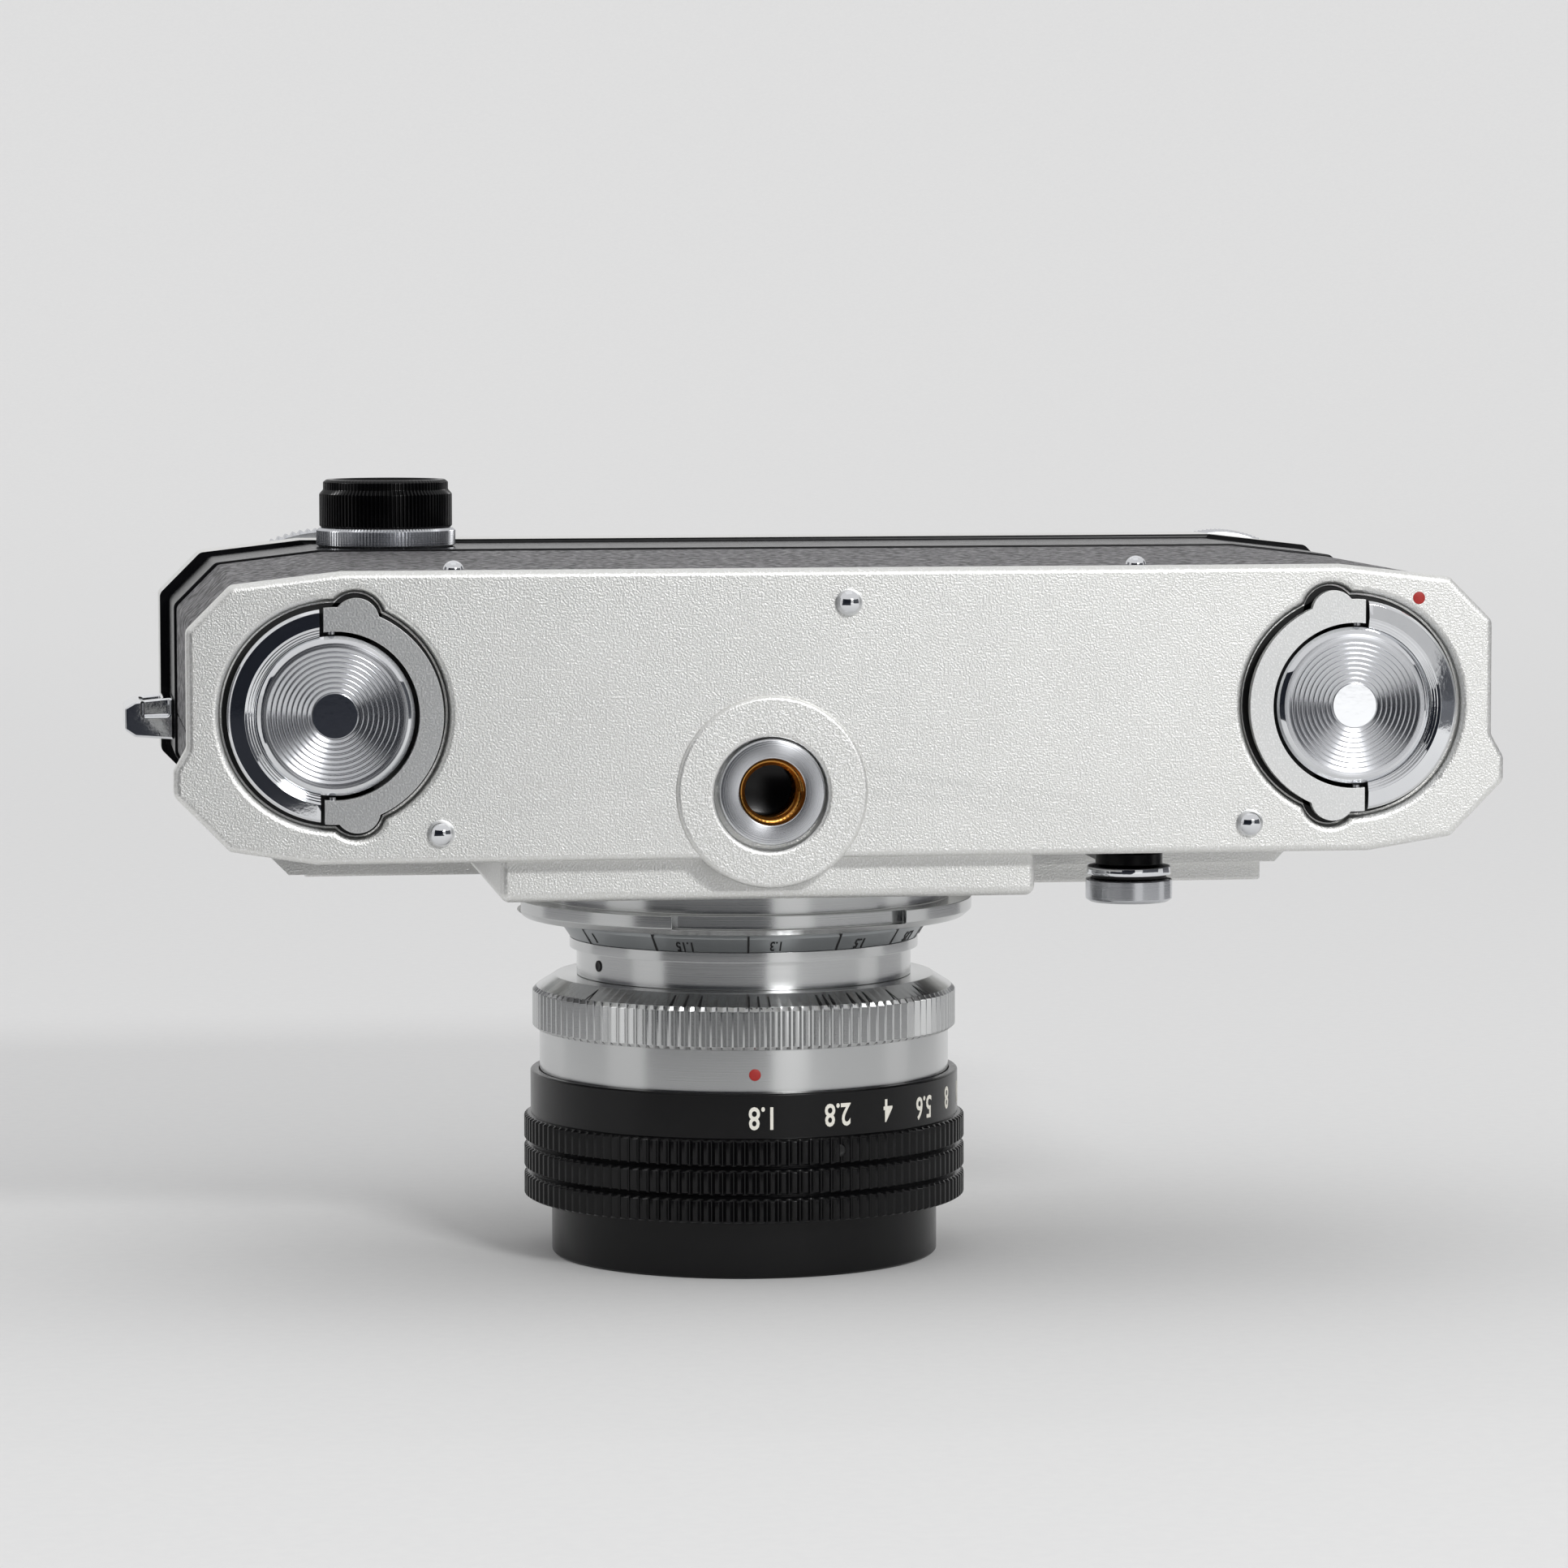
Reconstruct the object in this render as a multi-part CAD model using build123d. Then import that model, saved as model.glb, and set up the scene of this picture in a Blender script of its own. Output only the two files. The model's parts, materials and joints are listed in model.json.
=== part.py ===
from build123d import *
from math import cos, radians, sin
import os

# A 35 mm rangefinder camera standing on the front rim of its lens.
# X runs to the photographer's right, Y from the base plate to the top cover,
# and Z from the lens rim to the camera's back. The origin is where the
# optical axis meets the plane of the lens rim. All sizes are in millimetres.

# ---- camera body ----
body_x = 6.25                # centre of the body, beside the optical axis
base_y = -36.0               # outer face of the base plate
base_top_y = -33.2           # where the base plate meets the body
door_top_y = 17.0            # upper edge of the removable back
band_top_y = 34.0            # upper edge of the black shoulder band
cover_y = 43.0               # top face of the top cover
front_z = 45.4
back_z = 74.7
half_width = 66.6
shoulder_half_width = 67.9   # wider front part of the base plate
door_z = 57.0                # front edge of the removable back's sides
film_z = 71.2                # film plane
leather = 0.6
door_wall = 0.8
slide_gap = 0.3

# ---- lens and mount, heights above the rim ----
rim_r = 20.65
filter_r = 20.0
filter_depth = 3.5
knurl_low_z = 6.2
knurl_top_z = 15.0
iris_ring_top_z = 19.75
grip_low_z = 24.2
grip_top_z = 28.6
neck_z = 29.9
scale_z = 32.9
scale_top_z = 35.5
flange_z = 36.3
flange_top_z = 38.3
apron_z = 41.0
knurl_r = 23.6
iris_ring_r = 22.9
barrel_r = 21.9
grip_r = 22.65
neck_r = 17.9
scale_r = 18.65
flange_r = 24.4
mount_step_r = 22.0
mount_bore_r = 20.0
fit_gap = 0.1

# ---- locks in the base ----
lock_x = 51.9                # each side of the body's centre
lock_z = 60.4
lock_r = 10.85
lock_inner_r = 8.45
lock_disc_r = 8.0
lock_proud = 1.2             # how far the ring stands out of the base
handle_lift = 0.15           # air between the folded handle and the base plane
hinge_offset = 0.3           # hinge line, from the lock's centre outwards
handle_end = 1.1             # end of the handle, past the lock's centre
handle_slit = 0.4
handle_pin_r = 0.35
ear_r = 2.3
ear_angle = 77.0
ear_centre_r = 9.7
recess_gap = 0.55
recess_roll = 0.8            # radius of the rolled edge of a recess
recess_depth = 1.2

# ---- tripod socket: 1/4 inch, 20 threads to the inch ----
tripod_x = -1.6
tripod_z = 52.2
tripod_boss_r = 9.8
boss_proud = 0.45
tripod_insert_r = 5.4
tripod_thread_r = 3.175
tripod_depth = 6.5

# ---- controls ----
timer_x = 41.2
timer_y = -4.0
timer_r = 4.65
dial_x = -42.0
dial_z = 60.7
dial_r = 15.5
speed_x = 60.8
speed_z = 63.9
speed_r = 11.5
button_x = 44.0
button_z = 53.0
release_x = 19.75
release_z = 70.6
release_r = 4.05
spool_x = 56.0
spool_z = 61.0
sprocket_x = 37.0
sprocket_z = 63.0
eye_x = -36.35
eye_y = 26.0
eye_r = 7.65


def outline(half, front, back, front_half=None):
    """Body outline seen from below: long octagon with shallow leads to its corners."""
    wide = half if front_half is None else front_half
    step = [(wide, front + 9.5), (half, front + 11.8)] if wide > half else []
    right = [(wide - 14.1, front), (wide - 5.5, front + 1.4), (wide, front + 7.0)]
    right += step + [(half, back - 5.8), (half - 4.5, back - 1.3), (half - 15.6, back)]
    left = [(-x, z) for x, z in reversed(right)]
    face = make_face(Polyline(*right, *left, close=True))
    return Pos(body_x, 0) * fillet(face.vertices(), 1.0)


def slab(sketch, low, high):
    """A sketch drawn in X and Z, given thickness from low to high along Y."""
    return Pos(0, high, 0) * extrude(Plane.XZ * sketch, high - low)


def block(x0, x1, y0, y1, z0, z1):
    """A box between two corners."""
    centre = ((x0 + x1) / 2, (y0 + y1) / 2, (z0 + z1) / 2)
    return Pos(*centre) * Box(x1 - x0, y1 - y0, z1 - z0)


def rod(x, z, radius, low, high):
    """A round rod along Y."""
    return slab(Pos(x, z) * Circle(radius), low, high)


def turned(*profile, x=0.0, y=0.0):
    """A turned part about the optical axis, from (radius, height) points."""
    face = make_face(Plane.XZ * Polyline(*profile, close=True))
    return Pos(x, y, 0) * revolve(face, Axis.Z)


def turned_y(x, z, *profile):
    """A turned part about an axis along Y, from (radius, height) points."""
    face = make_face(Polyline(*profile, close=True))
    return Pos(x, 0, z) * revolve(face, Axis.Y)


def ring(outer, inner, low, high, x=0.0, y=0.0):
    """A plain ring about an axis along Z."""
    return turned((inner, low), (outer, low), (outer, high), (inner, high), x=x, y=y)


def rolled_hole(x, z, radius, mouth_y, floor_y, roll):
    """Cutter for a round hole along Y whose mouth is rolled inwards."""
    bend = roll * (1 - cos(radians(45)))
    arc = ThreePointArc((radius, mouth_y + roll), (radius + bend, mouth_y + bend), (radius + roll, mouth_y))
    rest = Polyline((radius + roll, mouth_y), (radius + roll, mouth_y - 2), (0, mouth_y - 2), (0, floor_y),
                    (radius, floor_y), (radius, mouth_y + roll))
    return Pos(x, 0, z) * revolve(make_face(arc + rest), Axis.Y)


def soften(part, radius, keep):
    """Round the edges that keep() picks."""
    return fillet([edge for edge in part.edges() if keep(edge)], radius)


# ---------------------------------------------------------------- body

def body_casting():
    """Die-cast frame: front wall, film chambers, and the hollow behind the lens."""
    rear_half = half_width - 0.7 - leather - door_wall - slide_gap
    lower = slab(outline(65.0, 46.8, 73.6), base_top_y, door_top_y) & block(-80, 80, -40, 40, 40, door_z)
    rear = slab(outline(rear_half, 46.8, 72.8), base_top_y, door_top_y) & block(-80, 80, -40, 40, door_z, 80)
    upper = slab(outline(65.0, 46.8, 73.6), door_top_y, band_top_y)
    cast = lower + rear + upper
    chambers = slab(outline(rear_half - 0.8, 48.2, 90), -40, door_top_y)
    cast -= chambers & block(-80, -29.5, -40, door_top_y, 48.2, 80)
    cast -= chambers & block(29.5, 80, -40, door_top_y, 48.2, 80)
    cast -= block(-28, 28, -31.5, 32, 49.2, 67.7)
    cast -= block(-29.5, 29.5, -40, door_top_y, 69.7, 80)
    cast -= block(-20, 20, -14, 14, 67, 70)
    loft = slab(outline(rear_half - 0.8, 48.8, 71.8), door_top_y + 2, band_top_y + 1)
    cast -= loft & block(-80, -29.5, -40, 40, 40, 80)
    cast -= loft & block(29.5, 80, -40, 40, 40, 80)
    cast -= turned((0, 40), (17.6, 40), (17.6, 50), (0, 50))
    cast -= rod(tripod_x, tripod_z, 6.2, -40, -27)
    cast -= rod(dial_x, dial_z, 3.0, 10, 30)
    cast -= rod(spool_x, spool_z, 3.0, 10, 30)
    cast -= rod(sprocket_x, sprocket_z, 2.0, 10, 30)
    cast -= turned((0, 70), (5.2, 70), (5.2, 75), (0, 75), x=eye_x, y=eye_y)
    return cast


def shoulder_band():
    """Black enamelled band around the body, between the leather and the top cover."""
    band = slab(outline(66.2, 45.6, 74.8), door_top_y + 0.2, band_top_y)
    band -= slab(outline(65.0, 46.8, 73.6), door_top_y, band_top_y + 1)
    band -= block(-28.9 - 0.2, 25.9 + 0.2, 10, 40, 40, 50)
    band -= turned((0, 70), (5.2, 70), (5.2, 80), (0, 80), x=eye_x, y=eye_y)
    return band


def front_leather(side):
    """Leather over the front and one side of the casting."""
    skin = slab(outline(65.9, 45.9, 74.6), base_top_y + 0.2, door_top_y)
    skin -= slab(outline(65.0, 46.8, 73.6), base_top_y, door_top_y + 1)
    reach = block(-80, -29.1, -40, 40, 40, door_z) if side < 0 else block(26.1, 80, -40, 40, 40, door_z)
    return skin & reach


def mount_apron():
    """Raised satin plate that carries the lens mount."""
    plate = block(-28.9, 25.9, -33.0, door_top_y - 0.2, apron_z, 46.8)
    plate = soften(plate, 1.0, lambda e: e.center().Z < apron_z + 0.01)
    plate = soften(plate, 0.8, lambda e: abs(e.length - 4.8) < 0.6 and e.center().Y < -30)
    plate -= block(-27.4, 24.4, -31.5, door_top_y - 1.7, apron_z + 1.6, 47)
    plate -= turned((0, 40), (mount_bore_r + 0.6, 40), (mount_bore_r + 0.6, 47), (0, 47))
    return plate


def mount_flange():
    """Fixed outer mount: a step on the apron and the flange with its three bayonet lugs."""
    flange = turned((mount_bore_r, flange_z), (flange_r - 0.8, flange_z), (flange_r, flange_z + 0.7),
                    (flange_r, flange_top_z), (mount_step_r, flange_top_z), (mount_step_r, apron_z),
                    (mount_bore_r + 0.6, apron_z), (mount_bore_r + 0.6, 46.0), (mount_bore_r, 46.0))
    gap = ring(flange_r + 1, flange_r - 1.1, flange_z + 0.6, flange_top_z + 0.01)
    for angle in (-84, 36, 156):
        flange -= Rot(0, 0, angle) * (gap & block(0, 30, -12.5, 12.5, 30, 45))
    return flange


def top_cover():
    """Satin chrome top cover with the finder block that stands out at the front."""
    left = body_x - 57.0
    right = body_x + 58.5
    low = door_top_y + 0.2
    cover = slab(outline(66.6, 45.2, 74.6), band_top_y, band_top_y + 0.8)
    cover += slab(outline(67.2, 45.0, 75.2), band_top_y + 0.8, cover_y)
    cover = soften(cover, 1.2, lambda e: e.center().Y > cover_y - 0.01)
    finder = block(left, right, low, cover_y, 39.4, 47)
    finder = chamfer([e for e in finder.edges() if abs(e.center().Z - 39.4) < 0.01
                      and abs(abs(e.center().X - (left + right) / 2) - (right - left) / 2) < 0.01], 3.0)
    cover += finder
    cover -= slab(outline(65.6, 46.6, 73.8), band_top_y - 1, cover_y - 1)
    cover -= slab(outline(68.6, 45.6, 76.0), low - 1, band_top_y)
    cover -= block(left + 3.2, right - 3.2, low + 1, cover_y - 1, 40.4, 47)
    for x, y, width, height in windows().values():
        cover -= block(x - width / 2, x + width / 2, y - height / 2, y + height / 2, 39, 41)
    cover -= turned((0, 30), (mount_step_r + 0.05, 30), (mount_step_r + 0.05, apron_z),
                    (mount_bore_r + 0.65, apron_z), (mount_bore_r + 0.65, 46.1), (0, 46.1))
    cover -= rod(dial_x, dial_z, 3.0, 40, 44)
    cover -= rod(speed_x, speed_z, 3.1, 40, 44)
    cover -= rod(button_x, button_z, 2.7, 40, 44)
    cover -= rod(release_x, release_z, 2.2, 40, 44)
    return cover


def windows():
    """Front windows of the finder: centre X, centre Y, width and height."""
    return {
        "viewfinder_window": (-34.0, 30.0, 17.0, 12.0),
        "frame_window": (-6.0, 30.0, 22.0, 10.0),
        "rangefinder_window": (38.0, 30.0, 9.0, 7.0),
    }


def finder_bezel(x0, x1, face_z, names):
    """Raised plate around the front windows."""
    plate = block(x0, x1, 19.0, 41.0, face_z, 39.4)
    plate = soften(plate, 0.3, lambda e: e.center().Z < face_z + 0.01)
    plate -= turned((0, 30), (mount_step_r + 0.05, 30), (mount_step_r + 0.05, 50), (0, 50))
    for name in names:
        x, y, width, height = windows()[name]
        plate -= block(x - width / 2, x + width / 2, y - height / 2, y + height / 2, 30, 41)
    return plate


def window_glass(name, face_z):
    """Glass pane set in its opening in the cover."""
    x, y, width, height = windows()[name]
    return block(x - width / 2, x + width / 2, y - height / 2, y + height / 2, face_z, face_z + 1.0)


def eyepiece_parts():
    """Knurled ring, screw-in adapter and lens of the viewfinder eyepiece."""
    socket = ring(eye_r, 5.0, 74.8, 76.9, x=eye_x, y=eye_y)
    adapter = turned((5.4, 76.9), (7.3, 76.9), (7.3, 80.7), (6.9, 81.1), (6.9, 82.0),
                     (6.6, 82.2), (5.9, 82.2), (5.4, 81.2), x=eye_x, y=eye_y)
    glass = turned((0, 77.2), (5.3, 77.2), (5.3, 79.2), (0, 79.8), x=eye_x, y=eye_y)
    return socket, adapter, glass


def accessory_shoe():
    """Rails that hold an accessory foot, standing on the top cover over the lens."""
    x0, x1 = -11.8, 14.5
    floor = block(x0, x1, cover_y, cover_y + 0.9, 57.0, 74.6)
    shoe = floor
    for inner, outer in ((x0 + 4.1, x0), (x1 - 4.1, x1)):
        low, high = sorted((inner, outer))
        wall_in = outer + (1.4 if outer == x0 else -1.4)
        wall_low, wall_high = sorted((outer, wall_in))
        shoe += block(wall_low, wall_high, cover_y + 0.9, cover_y + 3.9, 57.0, 74.6)
        shoe += block(low, high, cover_y + 2.9, cover_y + 3.9, 57.0, 74.6)
    return shoe


def strap_lug(side):
    """Strap lug on the shoulder band: a tapered bar with a slot along the camera's height."""
    root = body_x + side * 66.2
    profile = Polyline((0, -2.25), (4.2, -1.95), (5.3, -1.2), (5.3, 1.2), (4.2, 1.85), (0, 2.25), close=True)
    face = make_face(profile)
    if side < 0:
        face = mirror(face, Plane.YZ)
    bar = slab(Pos(root, 56.4) * face, 20.0, 31.0)
    slot = block(1.3, 3.4, 22.5, 28.5, 50, 62)
    notch = block(0.5, 3.4, 19, 21.2, 56.7, 60)
    for cut in (slot, notch):
        if side < 0:
            cut = mirror(cut, Plane.YZ)
        bar -= Pos(root, 0, 0) * cut
    return bar


def rangefinder_block():
    """Beam-splitter block and mirror carrier inside the top cover."""
    unit = block(-48, -16, 36.0, 41.0, 47.5, 71.0) + block(-38.4, -31, 20.2, 36.0, 54.0, 68.0)
    unit += block(-16, 40, 37.0, 40.5, 49.0, 55.0)
    return unit - rod(dial_x, dial_z, 4.0, 30, 45)


def film_gate():
    """Polished plate with the 36 by 24 mm frame and the film rails."""
    plate = block(-29.0, 29.0, -17.0, 16.5, 69.7, 70.9)
    for y in (-15.6, 13.4):
        plate += block(-29.0, 29.0, y, y + 2.0, 70.9, film_z)
    return plate - block(-18, 18, -12, 12, 69, 72)


def shutter_parts():
    """Focal-plane shutter: two curtain drums and the cloth curtain between them."""
    drums = [rod(x, 59.0, 3.4, -29.0, 29.0) for x in (-24.0, 24.0)]
    curtain = block(-22.5, 22.5, -15.0, 15.0, 66.2, 66.6)
    return Compound(children=drums), curtain


def timer_collar():
    """Black collar on the body under the self-timer lever."""
    return ring(4.9, 2.1, 42.9, 45.9, x=timer_x, y=timer_y)


def button_collar():
    """Threaded collar around the shutter button."""
    return turned_y(button_x, button_z, (2.7, cover_y), (5.2, cover_y), (5.2, cover_y + 1.0),
                    (4.6, cover_y + 1.6), (2.7, cover_y + 1.6))


# ---------------------------------------------------------------- removable back

def lock_circles(side):
    """Centre X, centre Z and radius of the circles in a lock's outline: its ring and the handle's two ears."""
    x = body_x + side * lock_x
    circles = [(x, lock_z, lock_r)]
    for angle in (ear_angle, -ear_angle):
        ear_x = x - side * ear_centre_r * cos(radians(angle))
        circles.append((ear_x, lock_z + ear_centre_r * sin(radians(angle)), ear_r))
    return circles


def base_plate():
    """Pressed base with a rolled rim, the boss of the tripod socket and two lock recesses."""
    plate = slab(outline(half_width, front_z, back_z, shoulder_half_width), base_y, base_top_y)
    plate = soften(plate, 0.7, lambda e: e.center().Y < base_y + 0.01)
    plate -= slab(outline(half_width - 1.2, front_z + 1.2, back_z - 1.2, shoulder_half_width - 1.2),
                  base_y + 1.6, base_top_y + 1)
    face_y = base_y - boss_proud
    boss = turned_y(tripod_x, tripod_z, (0, face_y), (tripod_boss_r - 0.5, face_y), (tripod_boss_r - 0.2, face_y + 0.12),
                    (tripod_boss_r - 0.05, face_y + 0.35), (tripod_boss_r, face_y + 0.65),
                    (tripod_boss_r, base_top_y - 0.2), (0, base_top_y - 0.2))
    plate += boss
    plate -= rolled_hole(tripod_x - 0.1, tripod_z - 0.2, tripod_insert_r + 0.35, face_y, base_y + 1.5, 0.5)
    plate -= rod(tripod_x, tripod_z, tripod_insert_r - 0.8, base_y, base_top_y + 1)
    for side in (-1, 1):
        x = body_x + side * lock_x
        plate += rod(x, lock_z, 12.6, base_y + 1.5, base_y + 2.4)
        for cut_x, cut_z, radius in lock_circles(side):
            plate -= rolled_hole(cut_x, cut_z, radius + recess_gap, base_y, base_y + recess_depth, recess_roll)
        plate -= rod(x, lock_z, 3.2, base_y, base_top_y + 1)
    return plate


def back_shell():
    """Sheet-metal back: a wide channel that closes the film chambers."""
    half = half_width - 0.7 - leather
    shell = slab(outline(half, front_z, back_z - 0.1 - leather), base_top_y, door_top_y)
    shell -= slab(outline(half - door_wall, front_z, back_z - 0.1 - leather - door_wall), base_top_y - 1, door_top_y + 1)
    return shell & block(-80, 80, -40, 40, door_z + 0.2, 80)


def back_leather():
    """Leather on the outside of the back."""
    skin = slab(outline(half_width - 0.7, front_z, back_z - 0.1), base_top_y + 0.1, door_top_y)
    skin -= slab(outline(half_width - 0.7 - leather, front_z, back_z - 0.1 - leather), base_top_y - 1, door_top_y + 1)
    return skin & block(-80, 80, -40, 40, door_z + 0.2, 80)


def pressure_parts():
    """Plate that holds the film flat, and its leaf spring on the back."""
    plate = block(-24.0, 24.0, -16.5, 16.0, film_z + 0.2, film_z + 1.1)
    plate = soften(plate, 3.0, lambda e: abs(e.length - 0.9) < 0.01)
    spring = block(-15.0, 15.0, -2.5, 2.5, film_z + 1.1, back_z - 0.1 - leather - door_wall)
    return plate, spring


def dome(radius, ball_r):
    """A low dome that stands towards -Y; ball_r is the radius of its curve."""
    sunk = 0.25
    return (Pos(0, sunk, 0) * Sphere(ball_r)) & rod(0, 0, radius, -ball_r, 0)


def dome_studs():
    """Three dome feet on the base and two smaller studs low on the back."""
    foot = dome(1.38, 1.6)
    feet = [Pos(body_x + x, base_y, z) * foot for x, z in ((-41.3, 48.45), (41.3, 48.45), (0.0, 71.3))]
    stud = Rot(-90, 0, 0) * dome(1.05, 1.2)
    studs = [Pos(body_x + x, base_top_y + 3.0, back_z - 0.1) * stud for x in (-39.5, 30.5)]
    return Compound(children=feet + studs)


def tripod_socket():
    """Threaded insert in the boss of the base."""
    return turned_y(tripod_x, tripod_z, (tripod_thread_r, base_y - 0.3), (tripod_insert_r - 0.3, base_y - 0.3),
                    (tripod_insert_r, base_y), (tripod_insert_r, base_y + 1.5),
                    (tripod_insert_r - 0.8, base_y + 1.5), (tripod_insert_r - 0.8, base_y + tripod_depth + 1.2),
                    (0, base_y + tripod_depth + 1.2), (0, base_y + tripod_depth + 0.2),
                    (tripod_thread_r, base_y + tripod_depth - 0.3))


# ---------------------------------------------------------------- locks

def lock_disc(side):
    """Turned cap of a lock, with a bevelled edge."""
    top = base_y - lock_proud
    return turned_y(body_x + side * lock_x, lock_z, (0, top), (7.2, top), (lock_disc_r, top + 0.55),
                    (lock_disc_r, base_y + 0.3), (0, base_y + 0.3))


def lock_ring(side):
    """Floor, stem and fixed half ring of a lock."""
    x = body_x + side * lock_x
    top = base_y - lock_proud
    half = turned_y(x, lock_z, (lock_disc_r + 0.02, top + 0.25), (9.1, top + 0.1), (9.3, top), (lock_r - 0.2, top),
                    (lock_r, top + 0.2), (lock_r, base_y + 1.0), (lock_disc_r + 0.02, base_y + 1.0))
    edge = x + side * (handle_end + handle_slit)
    half = half & block(min(edge, x + side * 20), max(edge, x + side * 20), -45, -30, 40, 80)
    floor = turned_y(x, lock_z, (0, base_y + 0.3), (lock_inner_r, base_y + 0.3), (lock_inner_r, base_y + 1.0),
                     (3.1, base_y + 1.0), (3.1, base_y + 5.2), (0, base_y + 5.2))
    return half + floor


def lock_handle(side):
    """Folding crescent handle with an ear near each end, bored for its hinge pins."""
    top = base_y - lock_proud
    low = base_y - handle_lift
    x = body_x + side * lock_x
    shape = Part() + [rod(*circle, top, low) for circle in lock_circles(side)]
    shape -= rod(x, lock_z, lock_inner_r, top - 1, low + 1)
    edge = x + side * handle_end
    shape = shape & block(min(edge, x - side * 20), max(edge, x - side * 20), -45, -30, 40, 80)
    for pin in handle_pins(side, 0.01).solids():
        shape -= pin
    return shape


def handle_pins(side, grow=0.0):
    """Two short hinge pins of a folding handle, one at each end."""
    x = body_x + side * (lock_x + hinge_offset)
    y = base_y - (lock_proud + handle_lift) / 2
    pin = Pos(x, y, 0) * extrude(Circle(handle_pin_r + grow), 1.6 + grow)
    return Compound(children=[Pos(0, 0, lock_z + 8.15) * pin, Pos(0, 0, lock_z - 9.75 - grow) * pin])


# ---------------------------------------------------------------- lens

def helicoid_sleeve():
    """Threaded sleeve that carries the lens forwards as it turns."""
    return ring(mount_bore_r - fit_gap, 17.0 + fit_gap, 38.6, 45.3)


def scale_ring():
    """Distance ring, the neck under it and the rear tube that sits in the helicoid."""
    return turned((15.6, neck_z), (neck_r, neck_z), (neck_r, scale_z), (scale_r, scale_z), (scale_r, 34.0),
                  (19.6, scale_top_z), (19.6, 36.0), (17.0, 36.0), (17.0, 53.0), (15.6, 53.0))


def lens_grip():
    """Knurled grip ring with a bevelled rear edge."""
    return turned((15.6, 27.0), (21.0, 27.0), (21.0, grip_low_z), (grip_r, grip_low_z), (grip_r, grip_top_z - 0.3),
                  (22.3, grip_top_z), (20.3, neck_z), (15.6, neck_z))


def lens_barrel():
    """Plain barrel that carries the red index; the aperture ring runs on it."""
    return turned((15.6, 17.2), (barrel_r, 17.2), (barrel_r, grip_low_z), (21.0, grip_low_z), (21.0, 27.0),
                  (15.6, 27.0))


def front_barrel():
    """Black front barrel with the filter thread in its mouth."""
    return turned((filter_r, 0), (rim_r - 0.25, 0), (rim_r, 0.25), (rim_r, 17.2), (15.6, 17.2), (15.6, 9.5),
                  (17.6, 9.5), (17.6, filter_depth), (filter_r, filter_depth))


def aperture_ring():
    """Aperture ring: three knurled bands and a plain band with the numbers."""
    inner = rim_r + 0.08
    points = [(inner, knurl_low_z), (knurl_r - 0.5, knurl_low_z), (knurl_r, knurl_low_z + 0.4)]
    for groove in (8.9, 12.1):
        points += [(knurl_r, groove - 0.2), (knurl_r - 0.5, groove), (knurl_r, groove + 0.2)]
    points += [(knurl_r, knurl_top_z - 0.4), (iris_ring_r, knurl_top_z), (iris_ring_r, iris_ring_top_z - 0.2),
               (iris_ring_r - 0.2, iris_ring_top_z), (barrel_r + 0.1, iris_ring_top_z), (barrel_r + 0.1, 17.05),
               (inner, 17.05)]
    return turned(*points)


def name_ring():
    """Ring that holds the front glass, coned towards it."""
    return turned((15.2, 5.8), (17.6, filter_depth), (17.6, 9.5), (15.2, 9.5))


def lens_glass(low, high, radius, bulge_low, bulge_high):
    """A lens element: a disc bounded by two spheres."""
    glass = turned((0, low - bulge_low), (radius, low - bulge_low), (radius, high + bulge_high), (0, high + bulge_high))
    low_ball = (radius ** 2 + bulge_low ** 2) / (2 * bulge_low)
    high_ball = (radius ** 2 + bulge_high ** 2) / (2 * bulge_high)
    glass = glass & (Pos(0, 0, low - bulge_low + low_ball) * Sphere(low_ball))
    return glass & (Pos(0, 0, high + bulge_high - high_ball) * Sphere(high_ball))


def iris_unit():
    """Blade pack of the diaphragm, open as at the largest stop."""
    return ring(15.6, 12.4, 20.0, 21.4)


# ---------------------------------------------------------------- controls

def timer_lever():
    """Self-timer hub and lever; the lever points to the top cover."""
    hub = turned((0, 37.4), (4.2, 37.4), (timer_r, 37.7), (timer_r, 39.8), (4.0, 39.9), (4.0, 40.3), (4.5, 40.3),
                 (4.5, 41.2), (3.6, 41.4), (3.6, 42.7), (2.0, 42.7), (2.0, 45.8), (0, 45.8), x=timer_x, y=timer_y)
    arm = extrude(Pos(timer_x, timer_y + 9.0) * SlotOverall(18.0 + 2 * 2.6, 5.2, rotation=90), 1.0)
    arm = Pos(0, 0, 41.3) * (arm & block(20, 60, timer_y, 13.5, -1, 5))
    return hub + arm


def release_button():
    """Shutter button with its threaded hole for a cable release."""
    return turned_y(button_x, button_z, (1.2, cover_y + 4.6), (3.2, cover_y + 4.6), (3.7, cover_y + 4.2),
                    (3.7, cover_y + 3.6), (2.6, cover_y + 3.4), (2.6, cover_y - 3.0), (0, cover_y - 3.0),
                    (0, cover_y + 1.0), (1.2, cover_y + 1.4))


def advance_lever():
    """Film advance lever: hub, arm and thumb rest."""
    low, high = cover_y + 3.9, cover_y + 6.3
    hub = rod(speed_x, speed_z, 8.6, low, high)
    tip_x, tip_z = speed_x - 29.0, speed_z + 4.5
    arm = Pos((speed_x + tip_x) / 2, (speed_z + tip_z) / 2) * Rot(0, 0, -8.8) * SlotOverall(35.0, 5.6)
    lever = hub + slab(arm, low + 0.4, high - 0.4)
    lever += rod(tip_x, tip_z, 3.4, low, high + 1.4)
    lever += rod(speed_x, speed_z, 5.6, high, high + 0.8)
    return lever + rod(speed_x, speed_z, 1.4, 21.0, low)


def speed_dial():
    """Shutter speed dial under the advance lever."""
    return turned_y(speed_x, speed_z, (1.5, cover_y + 0.1), (speed_r - 0.3, cover_y + 0.1), (speed_r, cover_y + 0.4),
                    (speed_r, cover_y + 2.9), (speed_r - 0.8, cover_y + 3.7), (1.5, cover_y + 3.7))


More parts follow.
